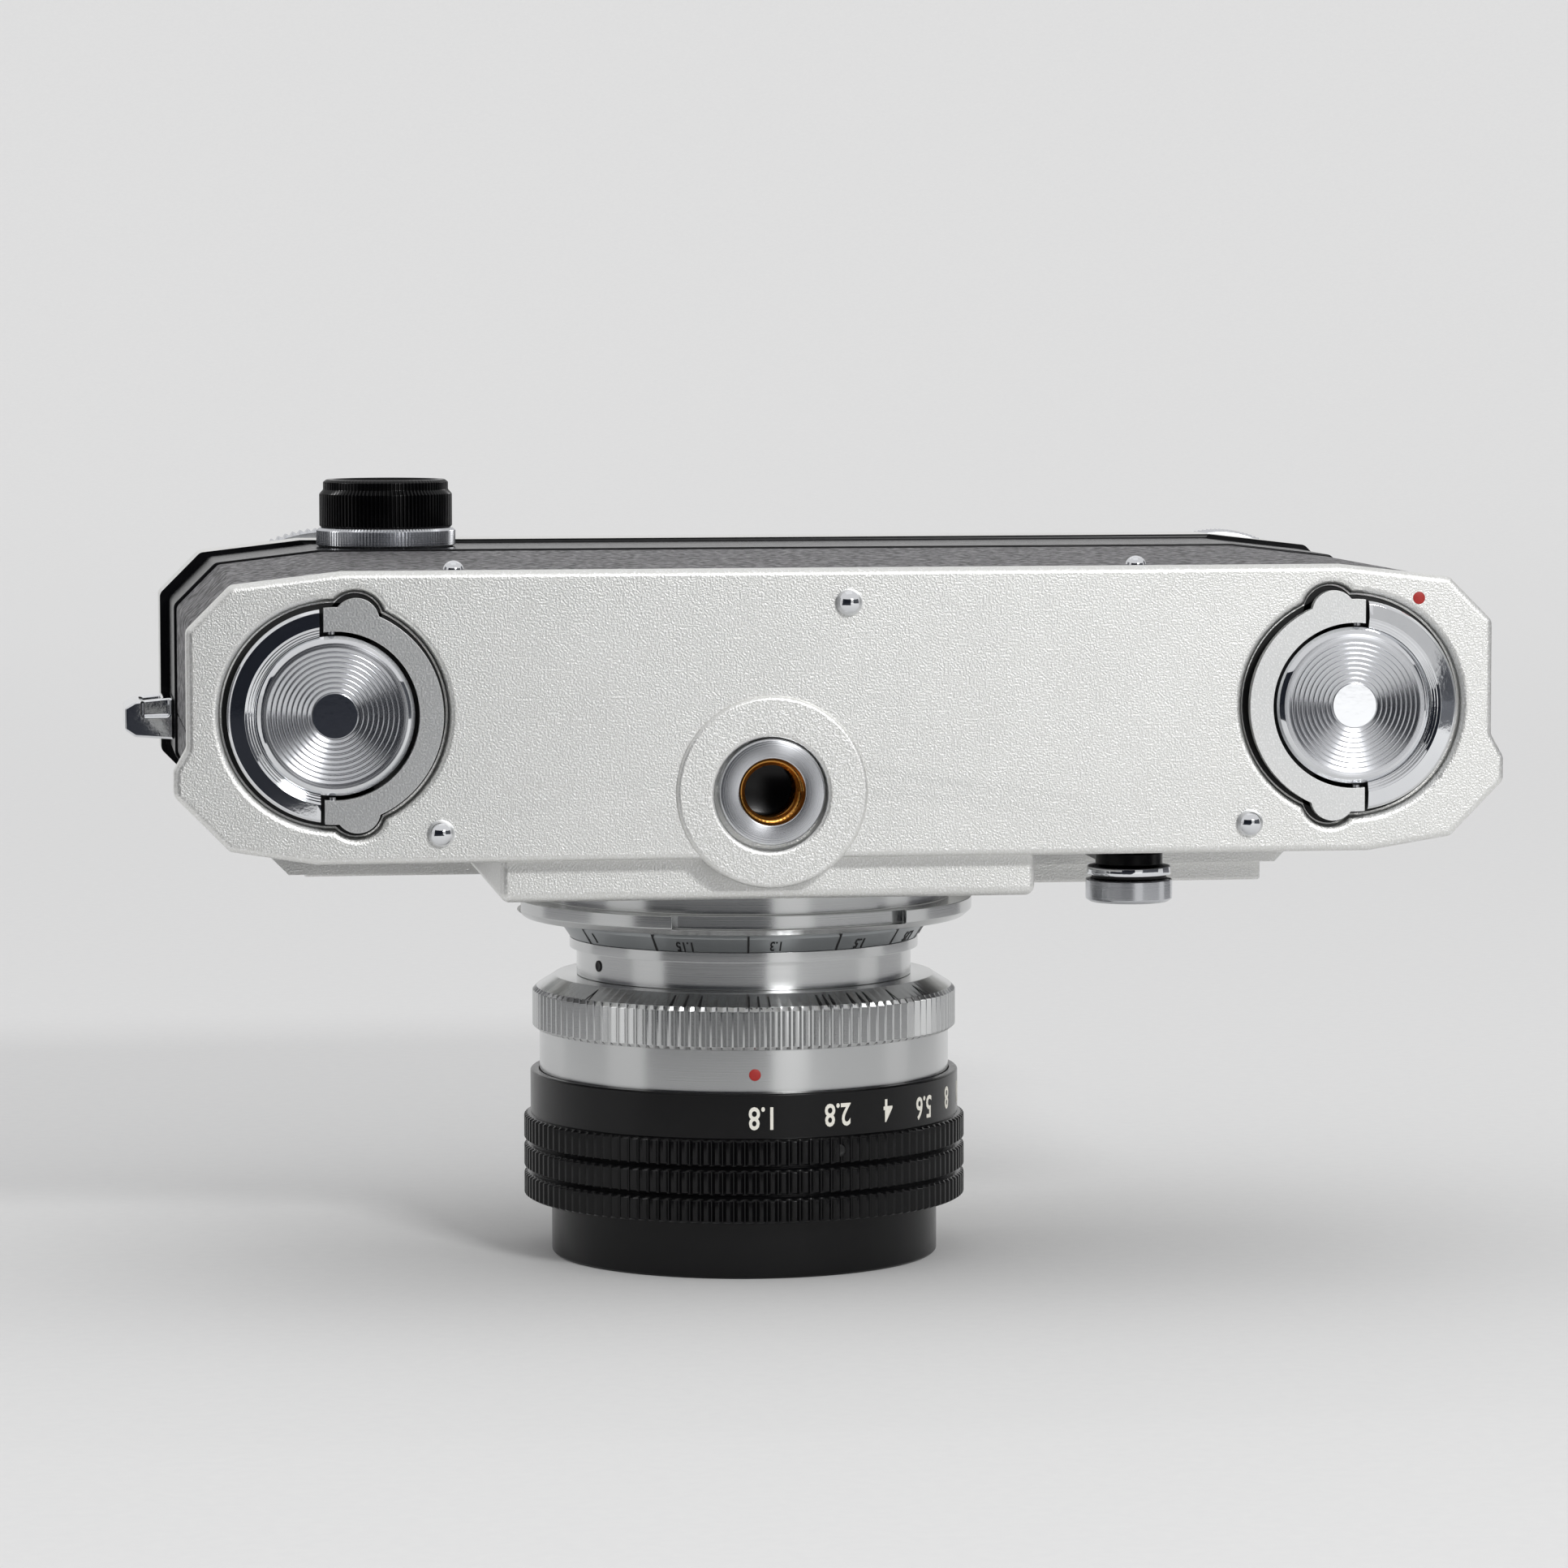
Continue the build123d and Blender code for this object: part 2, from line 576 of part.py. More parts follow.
def take_up_spool():
    """Take-up spool with a flange at each end."""
    return turned_y(spool_x, spool_z, (0, -28.5), (7.4, -28.5), (7.4, -27.3), (5.2, -27.3), (5.2, 14.8),
                    (7.4, 14.8), (7.4, 16.0), (2.9, 16.0), (2.9, 20.0), (0, 20.0))


def sprocket_shaft():
    """Film sprocket: a shaft with two toothed drums."""
    shaft = turned_y(sprocket_x, sprocket_z, (0, -28.5), (1.9, -28.5), (1.9, -16.0), (5.6, -16.0), (5.6, -12.5), (2.6, -12.5),
                     (2.6, 12.5), (5.6, 12.5), (5.6, 16.0), (1.9, 16.0), (1.9, 20.0), (0, 20.0))
    tooth = block(5.3, 6.6, -14.9, -13.9, -0.5, 0.5) + block(5.3, 6.6, 13.7, 14.7, -0.5, 0.5)
    for step in range(8):
        shaft += Pos(sprocket_x, 0, sprocket_z) * Rot(0, 45 * step, 0) * tooth
    return shaft


def rewind_parts():
    """Rewind knob with its shaft, the fork that turns the film spool, and the folding crank."""
    low = cover_y + 4.3
    knob = turned_y(dial_x, dial_z, (0, low), (8.6, low), (9.0, low + 0.4), (9.0, low + 5.6), (8.5, low + 6.0),
                    (0, low + 6.0))
    knob -= block(dial_x - 1.6, dial_x + 10, low + 4.4, low + 7, dial_z - 1.6, dial_z + 1.6)
    knob += rod(dial_x, dial_z, 2.9, 22.0, low)
    fork = rod(dial_x, dial_z, 2.9, 12.0, 22.0)
    fork -= block(dial_x - 0.9, dial_x + 0.9, 11, 17, dial_z - 4, dial_z + 4)
    crank = block(dial_x - 0.6, dial_x + 8.2, low + 4.8, low + 6.0, dial_z - 1.3, dial_z + 1.3)
    crank += Pos(dial_x - 0.6, low + 5.4, dial_z - 1.3) * extrude(Circle(0.6), 2.6)
    crank += rod(dial_x + 6.4, dial_z, 1.3, low + 6.0, low + 6.3)
    crank += rod(dial_x + 6.4, dial_z, 2.1, low + 6.3, low + 8.3)
    return knob, fork, crank


def film_dial():
    """Scalloped film-speed reminder dial under the rewind knob."""
    dial = turned_y(dial_x, dial_z, (3.2, cover_y + 0.1), (dial_r - 0.4, cover_y + 0.1), (dial_r, cover_y + 0.5),
                    (dial_r, cover_y + 3.2), (dial_r - 0.8, cover_y + 4.0), (3.2, cover_y + 4.0))
    return dial


def rewind_release():
    """Small button that frees the sprocket for rewinding."""
    return turned_y(release_x, release_z, (0, cover_y - 3.0), (2.1, cover_y - 3.0), (2.1, cover_y + 1.1),
                    (release_r - 0.3, cover_y + 1.1), (release_r, cover_y + 1.4), (release_r, cover_y + 2.2),
                    (release_r - 0.4, cover_y + 2.6), (0, cover_y + 2.6))


def all_parts():
    """Every node's shape by name."""
    parts = {
        "body_casting": body_casting(),
        "shoulder_band": shoulder_band(),
        "front_leather_left": front_leather(-1),
        "front_leather_right": front_leather(1),
        "mount_apron": mount_apron(),
        "mount_flange": mount_flange(),
        "top_cover": top_cover(),
        "viewfinder_bezel": finder_bezel(-46.0, 24.0, 39.0, ("viewfinder_window", "frame_window")),
        "rangefinder_bezel": finder_bezel(27.0, 60.5, 37.2, ("rangefinder_window",)),
        "viewfinder_window": window_glass("viewfinder_window", 39.4),
        "frame_window": window_glass("frame_window", 39.4),
        "rangefinder_window": window_glass("rangefinder_window", 39.4),
        "accessory_shoe": accessory_shoe(),
        "strap_lug_left": strap_lug(-1),
        "strap_lug_right": strap_lug(1),
        "rangefinder_block": rangefinder_block(),
        "film_gate": film_gate(),
        "timer_collar": timer_collar(),
        "button_collar": button_collar(),
        "base_plate": base_plate(),
        "back_shell": back_shell(),
        "back_leather": back_leather(),
        "dome_studs": dome_studs(),
        "tripod_socket": tripod_socket(),
        "helicoid_sleeve": helicoid_sleeve(),
        "scale_ring": scale_ring(),
        "lens_grip": lens_grip(),
        "lens_barrel": lens_barrel(),
        "front_barrel": front_barrel(),
        "aperture_ring": aperture_ring(),
        "name_ring": name_ring(),
        "front_element": lens_glass(7.4, 8.8, 15.1, 2.2, 0.6),
        "rear_element": lens_glass(48.0, 50.0, 15.5, 0.6, 1.4),
        "iris_unit": iris_unit(),
        "timer_lever": timer_lever(),
        "release_button": release_button(),
        "advance_lever": advance_lever(),
        "speed_dial": speed_dial(),
        "take_up_spool": take_up_spool(),
        "sprocket_shaft": sprocket_shaft(),
        "film_dial": film_dial(),
        "rewind_release": rewind_release(),
    }
    parts["eyepiece_ring"], parts["eyepiece_adapter"], parts["eyepiece_lens"] = eyepiece_parts()
    parts["curtain_drums"], parts["shutter_curtain"] = shutter_parts()
    parts["pressure_plate"], parts["pressure_spring"] = pressure_parts()
    parts["rewind_knob"], parts["rewind_fork"], parts["rewind_crank"] = rewind_parts()
    for side, name in ((-1, "left"), (1, "right")):
        parts["lock_disc_" + name] = lock_disc(side)
        parts["lock_ring_" + name] = lock_ring(side)
        parts["lock_handle_" + name] = lock_handle(side)
        parts["handle_pins_" + name] = handle_pins(side)
    return parts


os.makedirs("parts", exist_ok=True)
for node, shape in all_parts().items():
    export_step(shape, "parts/" + node + ".step")
    box = shape.bounding_box()
    print(f"{node:22s} {box.min.X:8.2f} {box.min.Y:8.2f} {box.min.Z:8.2f}  {box.max.X:8.2f} {box.max.Y:8.2f} {box.max.Z:8.2f}")
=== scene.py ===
import json
import bmesh
import bpy
from math import asin, atan2, cos, hypot, pi, radians, sin
from mathutils import Matrix, Vector


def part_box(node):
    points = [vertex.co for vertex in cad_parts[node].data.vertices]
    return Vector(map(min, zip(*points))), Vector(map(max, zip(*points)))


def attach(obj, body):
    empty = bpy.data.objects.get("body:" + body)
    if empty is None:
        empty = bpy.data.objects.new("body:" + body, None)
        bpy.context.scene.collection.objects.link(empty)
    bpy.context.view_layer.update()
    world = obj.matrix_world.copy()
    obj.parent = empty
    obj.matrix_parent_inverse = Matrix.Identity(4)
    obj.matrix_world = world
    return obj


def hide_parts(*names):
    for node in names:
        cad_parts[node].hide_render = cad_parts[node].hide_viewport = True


# Rangefinder film camera standing on its lens. Sizes below are in millimetres;
# mm turns them into the metres that the frame uses.
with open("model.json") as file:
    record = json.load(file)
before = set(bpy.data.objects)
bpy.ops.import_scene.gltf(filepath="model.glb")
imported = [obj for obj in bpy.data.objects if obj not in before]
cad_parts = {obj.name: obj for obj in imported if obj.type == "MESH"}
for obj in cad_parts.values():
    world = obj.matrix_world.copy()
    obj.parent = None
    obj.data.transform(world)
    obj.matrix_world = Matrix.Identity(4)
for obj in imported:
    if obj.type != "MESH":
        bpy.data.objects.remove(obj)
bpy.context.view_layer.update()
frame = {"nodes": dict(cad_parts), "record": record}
mm = 0.001
record = frame["record"]
bodyOf = {node: body for body, nodes in record["behaviour"]["bodies"].items() for node in nodes}


# Small helpers

def paint(hexText):  # sRGB hex to the linear colour that a shader reads
    values = [int(hexText[i:i + 2], 16) / 255 for i in (0, 2, 4)]
    return [v / 12.92 if v <= 0.04045 else ((v + 0.055) / 1.055) ** 2.4 for v in values] + [1.0]


def addNode(tree, kind, settings, inputs):  # one node; an input takes a value or another node's output
    node = tree.nodes.new(kind)
    for name, value in settings.items():
        setattr(node, name, value)
    for key, value in inputs.items():
        if isinstance(value, bpy.types.NodeSocket):
            tree.links.new(value, node.inputs[key])
        else:
            node.inputs[key].default_value = value
    return node


def newFinish(name):  # an empty material, its node tree and the place on the piece
    material = bpy.data.materials.new(name)
    material.use_nodes = True
    tree = material.node_tree
    tree.nodes.clear()
    return material, tree, addNode(tree, "ShaderNodeTexCoord", {}, {}).outputs["Object"]


def closeFinish(tree, shaderInputs):  # the shader and the output
    shader = addNode(tree, "ShaderNodeBsdfPrincipled", {}, shaderInputs)
    addNode(tree, "ShaderNodeOutputMaterial", {}, {"Surface": shader.outputs[0]})


def spread(tree, value, low, high):  # a 0 to 1 pattern turned into a range
    return addNode(tree, "ShaderNodeMapRange", {}, {"Value": value, "To Min": low,
                                                    "To Max": high}).outputs[0]


def tint(tree, factor, first, second):  # two colours mixed by a pattern
    mix = addNode(tree, "ShaderNodeMix", {"data_type": "RGBA"},
                  {"Factor": factor, "A": paint(first), "B": paint(second)})
    return mix.outputs["Result"]


def grain(tree, coordinates, size, detail=2.0, stretch=(1, 1, 1)):  # noise with a grain of that size
    place = addNode(tree, "ShaderNodeMapping", {}, {"Vector": coordinates, "Scale": stretch}).outputs[0]
    return addNode(tree, "ShaderNodeTexNoise", {}, {"Vector": place, "Scale": 1 / (size * mm),
                                                    "Detail": detail}).outputs[0]


def relief(tree, height, depth, below=None):  # bump of that depth, over an earlier one
    inputs = {"Height": height, "Strength": 1.0, "Distance": depth * mm}
    if below is not None:
        inputs["Normal"] = below
    return addNode(tree, "ShaderNodeBump", {}, inputs).outputs[0]


# Finishes

def satinChrome(name, colours, roughness, depth):  # chrome over a sand-blasted face, with painted glints: tiny spots of the colour pushed to white
    material, tree, place = newFinish(name)
    fine = grain(tree, place, 0.2, 4.0)    # grit marks of 0.1 to 0.2 mm
    broad = grain(tree, place, 9.0, 2.0)    # faint cloudiness from handling
    flat = tint(tree, broad, *colours)
    # painted glints: where the fine grit noise peaks, the colour is mixed to white
    paintedGlint = addNode(tree, "ShaderNodeMapRange", {}, {"Value": fine, "From Min": 0.52,
                                                     "From Max": 0.68}).outputs[0]
    paintedSparkle = addNode(tree, "ShaderNodeMix", {"data_type": "RGBA"},
                      {"Factor": paintedGlint, "A": flat, "B": paint("FFFFFF")})
    closeFinish(tree, {"Base Color": paintedSparkle.outputs["Result"], "Metallic": 1.0,
                       "Roughness": spread(tree, fine, *roughness), "Normal": relief(tree, fine, depth)})
    return material


def mirrorChrome():  # polished chrome: dark and light reflections with a few hairline scratches
    material, tree, place = newFinish("mirrorChrome")
    scratches = grain(tree, place, 0.5, 4.0, (1, 0.06, 1))
    haze = grain(tree, place, 3.0)
    closeFinish(tree, {"Base Color": tint(tree, haze, "E2E4E7", "EBECEE"), "Metallic": 1.0,
                       "Roughness": spread(tree, haze, 0.03, 0.1), "Normal": relief(tree, scratches, 0.004)})
    return material


def turnedMetal(name, light, dark, lowRough, highRough, stretch):  # lathe-turned: fine rings, streaks
    material, tree = newFinish(name)[:2]
    tangent = addNode(tree, "ShaderNodeTangent", {"direction_type": "UV_MAP", "uv_map": "profile"},
                      {}).outputs[0]
    along = addNode(tree, "ShaderNodeUVMap", {"uv_map": "profile"}, {}).outputs[0]
    length = addNode(tree, "ShaderNodeSeparateXYZ", {}, {0: along}).outputs[0]
    rings = addNode(tree, "ShaderNodeTexNoise", {"noise_dimensions": "1D"},
                    {"W": length, "Scale": 9.0, "Detail": 3.0}).outputs[0]    # tool marks about 0.1 mm apart
    closeFinish(tree, {"Base Color": tint(tree, rings, dark, light), "Metallic": 1.0,
                       "Roughness": spread(tree, rings, lowRough, highRough), "Anisotropic": stretch,
                       "Tangent": tangent, "Normal": relief(tree, rings, 0.002)})
    return material


def blackAnodised():  # anodised aluminium: deep black with a satin sheen, worn a little grey
    material, tree, place = newFinish("blackAnodised")
    fine = grain(tree, place, 0.12)
    wear = grain(tree, place, 2.5, 5.0)
    closeFinish(tree, {"Base Color": tint(tree, wear, "040405", "0B0B0C"), "IOR": 1.45,
                       "Specular IOR Level": 0.32,
                       "Roughness": spread(tree, wear, 0.16, 0.3), "Normal": relief(tree, fine, 0.003)})
    return material


def blackEnamel():  # stoved gloss enamel: black, clear reflections, slight orange peel
    material, tree, place = newFinish("blackEnamel")
    peel = grain(tree, place, 1.4)
    closeFinish(tree, {"Base Color": tint(tree, peel, "08080A", "0F0F12"),
                       "Roughness": spread(tree, peel, 0.2, 0.3),
                       "IOR": 1.4, "Specular IOR Level": 0.25, "Normal": relief(tree, peel, 0.006)})
    return material


def leatherette():  # embossed vinyl cloth: dark grey, round pebbles of 0.7 mm, with dark and light flecks painted in as the shade and light of the pebble relief
    material, tree, place = newFinish("leatherette")
    bend = addNode(tree, "ShaderNodeTexNoise", {}, {"Vector": place, "Scale": 1 / (1.5 * mm),
                                                    "Detail": 2.0}).outputs[1]
    warped = addNode(tree, "ShaderNodeMix", {"data_type": "VECTOR"},
                     {"Factor": 0.0004, 4: place, 5: bend}).outputs[1]
    pebble = addNode(tree, "ShaderNodeTexVoronoi", {"feature": "SMOOTH_F1"},
                     {"Vector": warped, "Scale": 1 / (0.9 * mm), "Smoothness": 0.3}).outputs["Distance"]
    fine = grain(tree, place, 0.18, 3.0)
    # painted shade and light: random dark and light flecks in the colour, in place of the relief's own
    # shading
    reliefShadeFlecks = addNode(tree, "ShaderNodeMapRange", {}, {"Value": grain(tree, place, 0.8, 5.0), "From Min": 0.42,
                                                    "From Max": 0.58}).outputs[0]
    bump = relief(tree, fine, 0.04, relief(tree, spread(tree, pebble, 1.0, 0.0), 0.7))
    closeFinish(tree, {"Base Color": tint(tree, reliefShadeFlecks, "111012", "666468"),
                       "Roughness": spread(tree, reliefShadeFlecks, 0.62, 0.36),
                       "IOR": 1.5, "Sheen Weight": 0.1, "Sheen Roughness": 0.5, "Normal": bump})
    return material


def castAluminium():  # sand-textured casting painted matt black
    material, tree, place = newFinish("castAluminium")
    sand = grain(tree, place, 0.5, 4.0)
    closeFinish(tree, {"Base Color": tint(tree, sand, "1C1C1E", "2A2A2C"),
                       "Roughness": spread(tree, sand, 0.55, 0.8),
                       "IOR": 1.5, "Normal": relief(tree, sand, 0.06)})
    return material


def springSteel():  # rolled steel: bright, with fine lines along the strip
    material, tree, place = newFinish("springSteel")
    lines = grain(tree, place, 0.1, 3.0, (0.04, 1, 1))
    closeFinish(tree, {"Base Color": tint(tree, lines, "B9BABD", "D2D3D5"), "Metallic": 1.0,
                       "Roughness": spread(tree, lines, 0.22, 0.38), "Normal": relief(tree, lines, 0.003)})
    return material


def curtainCloth():  # rubberised silk: matt black with a 0.3 mm weave
    material, tree, place = newFinish("curtainCloth")
    waves = [addNode(tree, "ShaderNodeTexWave", {"bands_direction": way},
                     {"Vector": place, "Scale": 0.1 / mm}).outputs[1]
             for way in ("X", "Y")]
    weave = addNode(tree, "ShaderNodeMath", {"operation": "MULTIPLY"}, {0: waves[0], 1: waves[1]}).outputs[0]
    closeFinish(tree, {"Base Color": tint(tree, weave, "0B0B0C", "19191A"), "Roughness": 0.75,
                       "Sheen Weight": 0.3, "Normal": relief(tree, weave, 0.03)})
    return material


def coatedGlass(name, hexText):  # optical glass with a coated surface: a faint coloured reflection
    material, tree, place = newFinish(name)
    dust = grain(tree, place, 1.2, 4.0)
    closeFinish(tree, {"Base Color": tint(tree, dust, hexText, "F4F6FA"),
                       "Roughness": spread(tree, dust, 0.01, 0.05),
                       "IOR": 1.55, "Transmission Weight": 0.92, "Coat Weight": 0.3,
                       "Coat Tint": paint(hexText)})
    return material


def enamelFill(name, first, second):  # paint wiped into an engraving: dull, a little uneven
    material, tree, place = newFinish(name)
    blotch = grain(tree, place, 0.35, 3.0)
    closeFinish(tree, {"Base Color": tint(tree, blotch, first, second),
                       "Roughness": spread(tree, blotch, 0.4, 0.6),
                       "IOR": 1.5, "Normal": relief(tree, blotch, 0.01)})
    return material


finishes = {
    "satin": satinChrome("satinChrome", ("E6E6E3", "EFEFEC"), (0.34, 0.52), 0.055),
    "smoothSatin": satinChrome("smoothSatin", ("E6E7E6", "F0F1F0"), (0.28, 0.4), 0.02),    # worn smooth
    "mirror": mirrorChrome(),
    "aluminium": turnedMetal("turnedAluminium", "D6D6D4", "C2C4C6", 0.16, 0.28, 0.7),
    "turnedChrome": turnedMetal("turnedChrome", "DCDDE0", "C9CBCF", 0.2, 0.3, 0.8),
    "scaleGround": turnedMetal("greyAnodised", "A6A9AA", "979A9C", 0.3, 0.42, 0.5),    # distance scale
    "brass": turnedMetal("machinedBrass", "D9A95E", "A8702E", 0.2, 0.34, 0.5),
    "anodised": blackAnodised(),
    "enamel": blackEnamel(),
    "leather": leatherette(),
    "cast": castAluminium(),
    "steel": springSteel(),
    "curtain": curtainCloth(),
    "amberGlass": coatedGlass("coatedGlassAmber", "E8C48A"),
    "blueGlass": coatedGlass("coatedGlassBlue", "9FB4E8"),
    "windowGlass": coatedGlass("windowGlass", "DCE6E4"),
    "white": enamelFill("whiteFill", "D8D5CA", "EFECE2"),
    "black": enamelFill("blackFill", "0C0C0D", "1A1A1B"),
    "paintedShade": enamelFill("paintedShade", "020202", "060606"),    # painted shade: near-black put in gaps, grooves and holes where shade falls
    "red": enamelFill("redFill", "8E1713", "B3241C"),
}
print("finishes made:", len(finishes))


# Building helpers

def written(work, mesh, finish=None):  # the bmesh put into the mesh, with its finish
    work.to_mesh(mesh)
    work.free()
    mesh.materials.clear()
    if finish:
        mesh.materials.append(finishes[finish])
    return mesh


def nodeBox(node):  # lowest and highest corner of a CAD node, in millimetres
    low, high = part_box(node)
    return low / mm, high / mm


def roundOf(low, high, axis="Y"):  # centre and radius of a round part that stands along the axis
    across = (low.z + high.z) / 2 if axis == "Y" else (low.y + high.y) / 2
    return ((low.x + high.x) / 2, across), (high.x - low.x) / 2


def softCorners(rows, radius):  # rounds the corners of a closed profile of (radius, height, cut) rows
    rows = [tuple(row) + (0.0,) * (3 - len(row)) for row in rows]
    result = []
    for i, here in enumerate(rows):
        sides = rows[i - 1], rows[(i + 1) % len(rows)]
        reach = [min(radius, 0.45 * hypot(other[0] - here[0], other[1] - here[1])) for other in sides]
        if here[0] < 1e-6 or radius == 0:
            result.append(here)
            continue
        ends = []
        for other, step in zip(sides, reach):
            share = step / max(hypot(other[0] - here[0], other[1] - here[1]), 1e-9)
            ends.append(tuple(h + (o - h) * share for h, o in zip(here, other)))
        middle = tuple(0.25 * a + 0.5 * h + 0.25 * b for a, h, b in zip(ends[0], here, ends[1]))
        result += [ends[0], middle, ends[1]]
    return result


teeth = {    # (share of one pitch, share of the cut)
    "plain": [(0, 0), (1, 0)],
    "vee": [(0, 1), (0.46, 0), (0.54, 0), (1, 1)],
    "blunt": [(0, 1), (0.1, 1), (0.42, 0), (0.68, 0), (1, 1)],
    "peak": [(0, 1), (0.08, 1), (0.44, 0), (0.6, 0), (0.92, 1), (1, 1)],
    "scallop": [(k / 6, 0.5 + 0.5 * cos(2 * pi * k / 6)) for k in range(7)],
}


def sectorMesh(rows, count, tooth):  # one pitch of a turned or knurled ring about Z
    mesh = bpy.data.meshes.new("sector")
    work = bmesh.new()
    uv = work.loops.layers.uv.new("profile")
    columns = []
    for share, cut in teeth[tooth]:
        angle = 2 * pi * share / count
        points = [(max(row[0] - row[2] * cut, 0), row[1]) for row in rows]
        columns.append([work.verts.new((r * cos(angle) * mm, r * sin(angle) * mm, h * mm))
                        for r, h in points])
    lengths = [0.0]
    for i, row in enumerate(rows):
        after = rows[(i + 1) % len(rows)]
        lengths.append(lengths[-1] + hypot(after[0] - row[0], after[1] - row[1]))
    for c in range(len(columns) - 1):
        for i in range(len(rows)):
            j = (i + 1) % len(rows)
            face = work.faces.new((columns[c][i], columns[c + 1][i], columns[c + 1][j], columns[c][j]))
            for loop, length, turn in zip(face.loops, (i, i, i + 1, i + 1), (0, 1, 1, 0)):
                loop[uv].uv = (lengths[length], (c + turn) / 10)
    return written(work, mesh)


def treeWithInputs(name, inputs):  # an empty geometry node tree with named inputs
    tree = bpy.data.node_groups.new(name, "GeometryNodeTree")
    tree.interface.new_socket("Geometry", in_out="INPUT", socket_type="NodeSocketGeometry")
    for label, kind in inputs:
        tree.interface.new_socket(label, in_out="INPUT", socket_type="NodeSocket" + kind)
    tree.interface.new_socket("Geometry", in_out="OUTPUT", socket_type="NodeSocketGeometry")
    return tree, addNode(tree, "NodeGroupInput", {}, {}).outputs


def closeTree(tree, instances, finish, weld):  # real geometry, welded where asked, with its material
    real = addNode(tree, "GeometryNodeRealizeInstances", {}, {0: instances}).outputs[0]
    if weld:
        real = addNode(tree, "GeometryNodeMergeByDistance", {},
                       {"Geometry": real, "Distance": 0.001 * mm}).outputs[0]
    coated = addNode(tree, "GeometryNodeSetMaterial", {}, {"Geometry": real, "Material": finish}).outputs[0]
    addNode(tree, "NodeGroupOutput", {}, {0: coated})


def ringTree():  # repeats a sector round the Z axis: knurls, ribs, scallops and plain turned parts
    tree, given = treeWithInputs("ringOfSectors", [("Count", "Int"), ("Finish", "Material")])
    points = addNode(tree, "GeometryNodePoints", {}, {"Count": given["Count"]}).outputs[0]
    index = addNode(tree, "GeometryNodeInputIndex", {}, {}).outputs[0]
    pitch = addNode(tree, "ShaderNodeMath", {"operation": "DIVIDE"},
                    {0: 2 * pi, 1: given["Count"]}).outputs[0]
    angle = addNode(tree, "ShaderNodeMath", {"operation": "MULTIPLY"}, {0: index, 1: pitch}).outputs[0]
    turn = addNode(tree, "ShaderNodeCombineXYZ", {}, {"Z": angle}).outputs[0]
    rotation = addNode(tree, "FunctionNodeEulerToRotation", {}, {0: turn}).outputs[0]
    copies = addNode(tree, "GeometryNodeInstanceOnPoints", {},
                     {"Points": points, "Instance": given["Geometry"], "Rotation": rotation}).outputs[0]
    closeTree(tree, copies, given["Finish"], True)
    return tree


def domeTree():  # a rivet dome on each point of the mesh
    tree, given = treeWithInputs("domes", [("Radius", "Float"), ("Flatness", "Vector"),
                                           ("Finish", "Material")])
    ball = addNode(tree, "GeometryNodeMeshUVSphere", {}, {"Segments": 40, "Rings": 24,
                                                          "Radius": given["Radius"]}).outputs[0]
    copies = addNode(tree, "GeometryNodeInstanceOnPoints", {},
                     {"Points": given["Geometry"], "Instance": ball, "Scale": given["Flatness"]}).outputs[0]
    closeTree(tree, copies, given["Finish"], False)
    return tree


def threadTree():  # a thread: a small triangle swept along a helix
    tree, given = treeWithInputs("thread", [("Turns", "Float"), ("Radius", "Float"), ("Height", "Float"),
                                            ("Depth", "Float"), ("Finish", "Material")])
    helix = addNode(tree, "GeometryNodeCurveSpiral", {}, {"Resolution": 48, "Rotations": given["Turns"],
                    "Start Radius": given["Radius"], "End Radius": given["Radius"],
                                                          "Height": given["Height"]}).outputs[0]
    section = addNode(tree, "GeometryNodeCurvePrimitiveCircle", {},
                      {"Resolution": 3, "Radius": given["Depth"]}).outputs[0]
    swept = addNode(tree, "GeometryNodeCurveToMesh", {},
                    {"Curve": helix, "Profile Curve": section, "Fill Caps": True}).outputs[0]
    closeTree(tree, swept, given["Finish"], False)
    return tree


trees = {"ring": ringTree(), "domes": domeTree(), "thread": threadTree()}


def applied(mesh, tree=None, values=None, modifiers=()):  # the mesh after a tree or modifiers
    holder = bpy.data.objects.new("holder", mesh)
    bpy.context.scene.collection.objects.link(holder)
    if tree is not None:
        modifier = holder.modifiers.new("tree", "NODES")
        modifier.node_group = tree
        for item in tree.interface.items_tree:
            if item.in_out == "INPUT" and item.name in values:
                modifier[item.identifier] = values[item.name]
    for kind, settings in modifiers:
        modifier = holder.modifiers.new(kind.lower(), kind)
        for name, value in settings.items():
            setattr(modifier, name, value)
    shown = holder.evaluated_get(bpy.context.evaluated_depsgraph_get())
    result = bpy.data.meshes.new_from_object(shown)
    bpy.data.objects.remove(holder)
    return result


def evenShading(mesh, sharpAngle=45):  # smooth shading that keeps flats flat and sharp edges sharp
    mesh.shade_smooth()
    mesh.set_sharp_from_angle(angle=radians(sharpAngle))
    return applied(mesh, modifiers=[("WEIGHTED_NORMAL", {"keep_sharp": True, "weight": 80})])


def axisTurn(axis, centre):  # places a part made about Z: axis Z at (x, y), or axis Y at (x, z)
    if axis == "Z":
        return Matrix.Translation(Vector((centre[0], centre[1], 0)) * mm)
    return Matrix.Translation(Vector((centre[0], 0, centre[1])) * mm) @ Matrix.Rotation(radians(-90), 4, "X")


def turnedMesh(rows, finish, axis="Z", centre=(0, 0), count=128, tooth="plain", corner=0.1, sharpAngle=45):
    sector = sectorMesh(softCorners(rows, corner), count, tooth)
    mesh = applied(sector, trees["ring"], {"Count": count, "Finish": finishes[finish]})
    mesh.transform(axisTurn(axis, centre))
    return evenShading(mesh, sharpAngle)


def addPiece(name, mesh, body, replaced=()):  # links a finished mesh, hangs it on its body and hides the CAD nodes it replaces
    mesh.name = name
    piece = bpy.data.objects.new(name, mesh)
    bpy.context.scene.collection.objects.link(piece)
    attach(piece, body)
    if replaced:
        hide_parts(*replaced)
    return piece


def standFor(node, mesh, name):  # a piece that takes a CAD node's place and body
    return addPiece(name, mesh, bodyOf[node], [node])


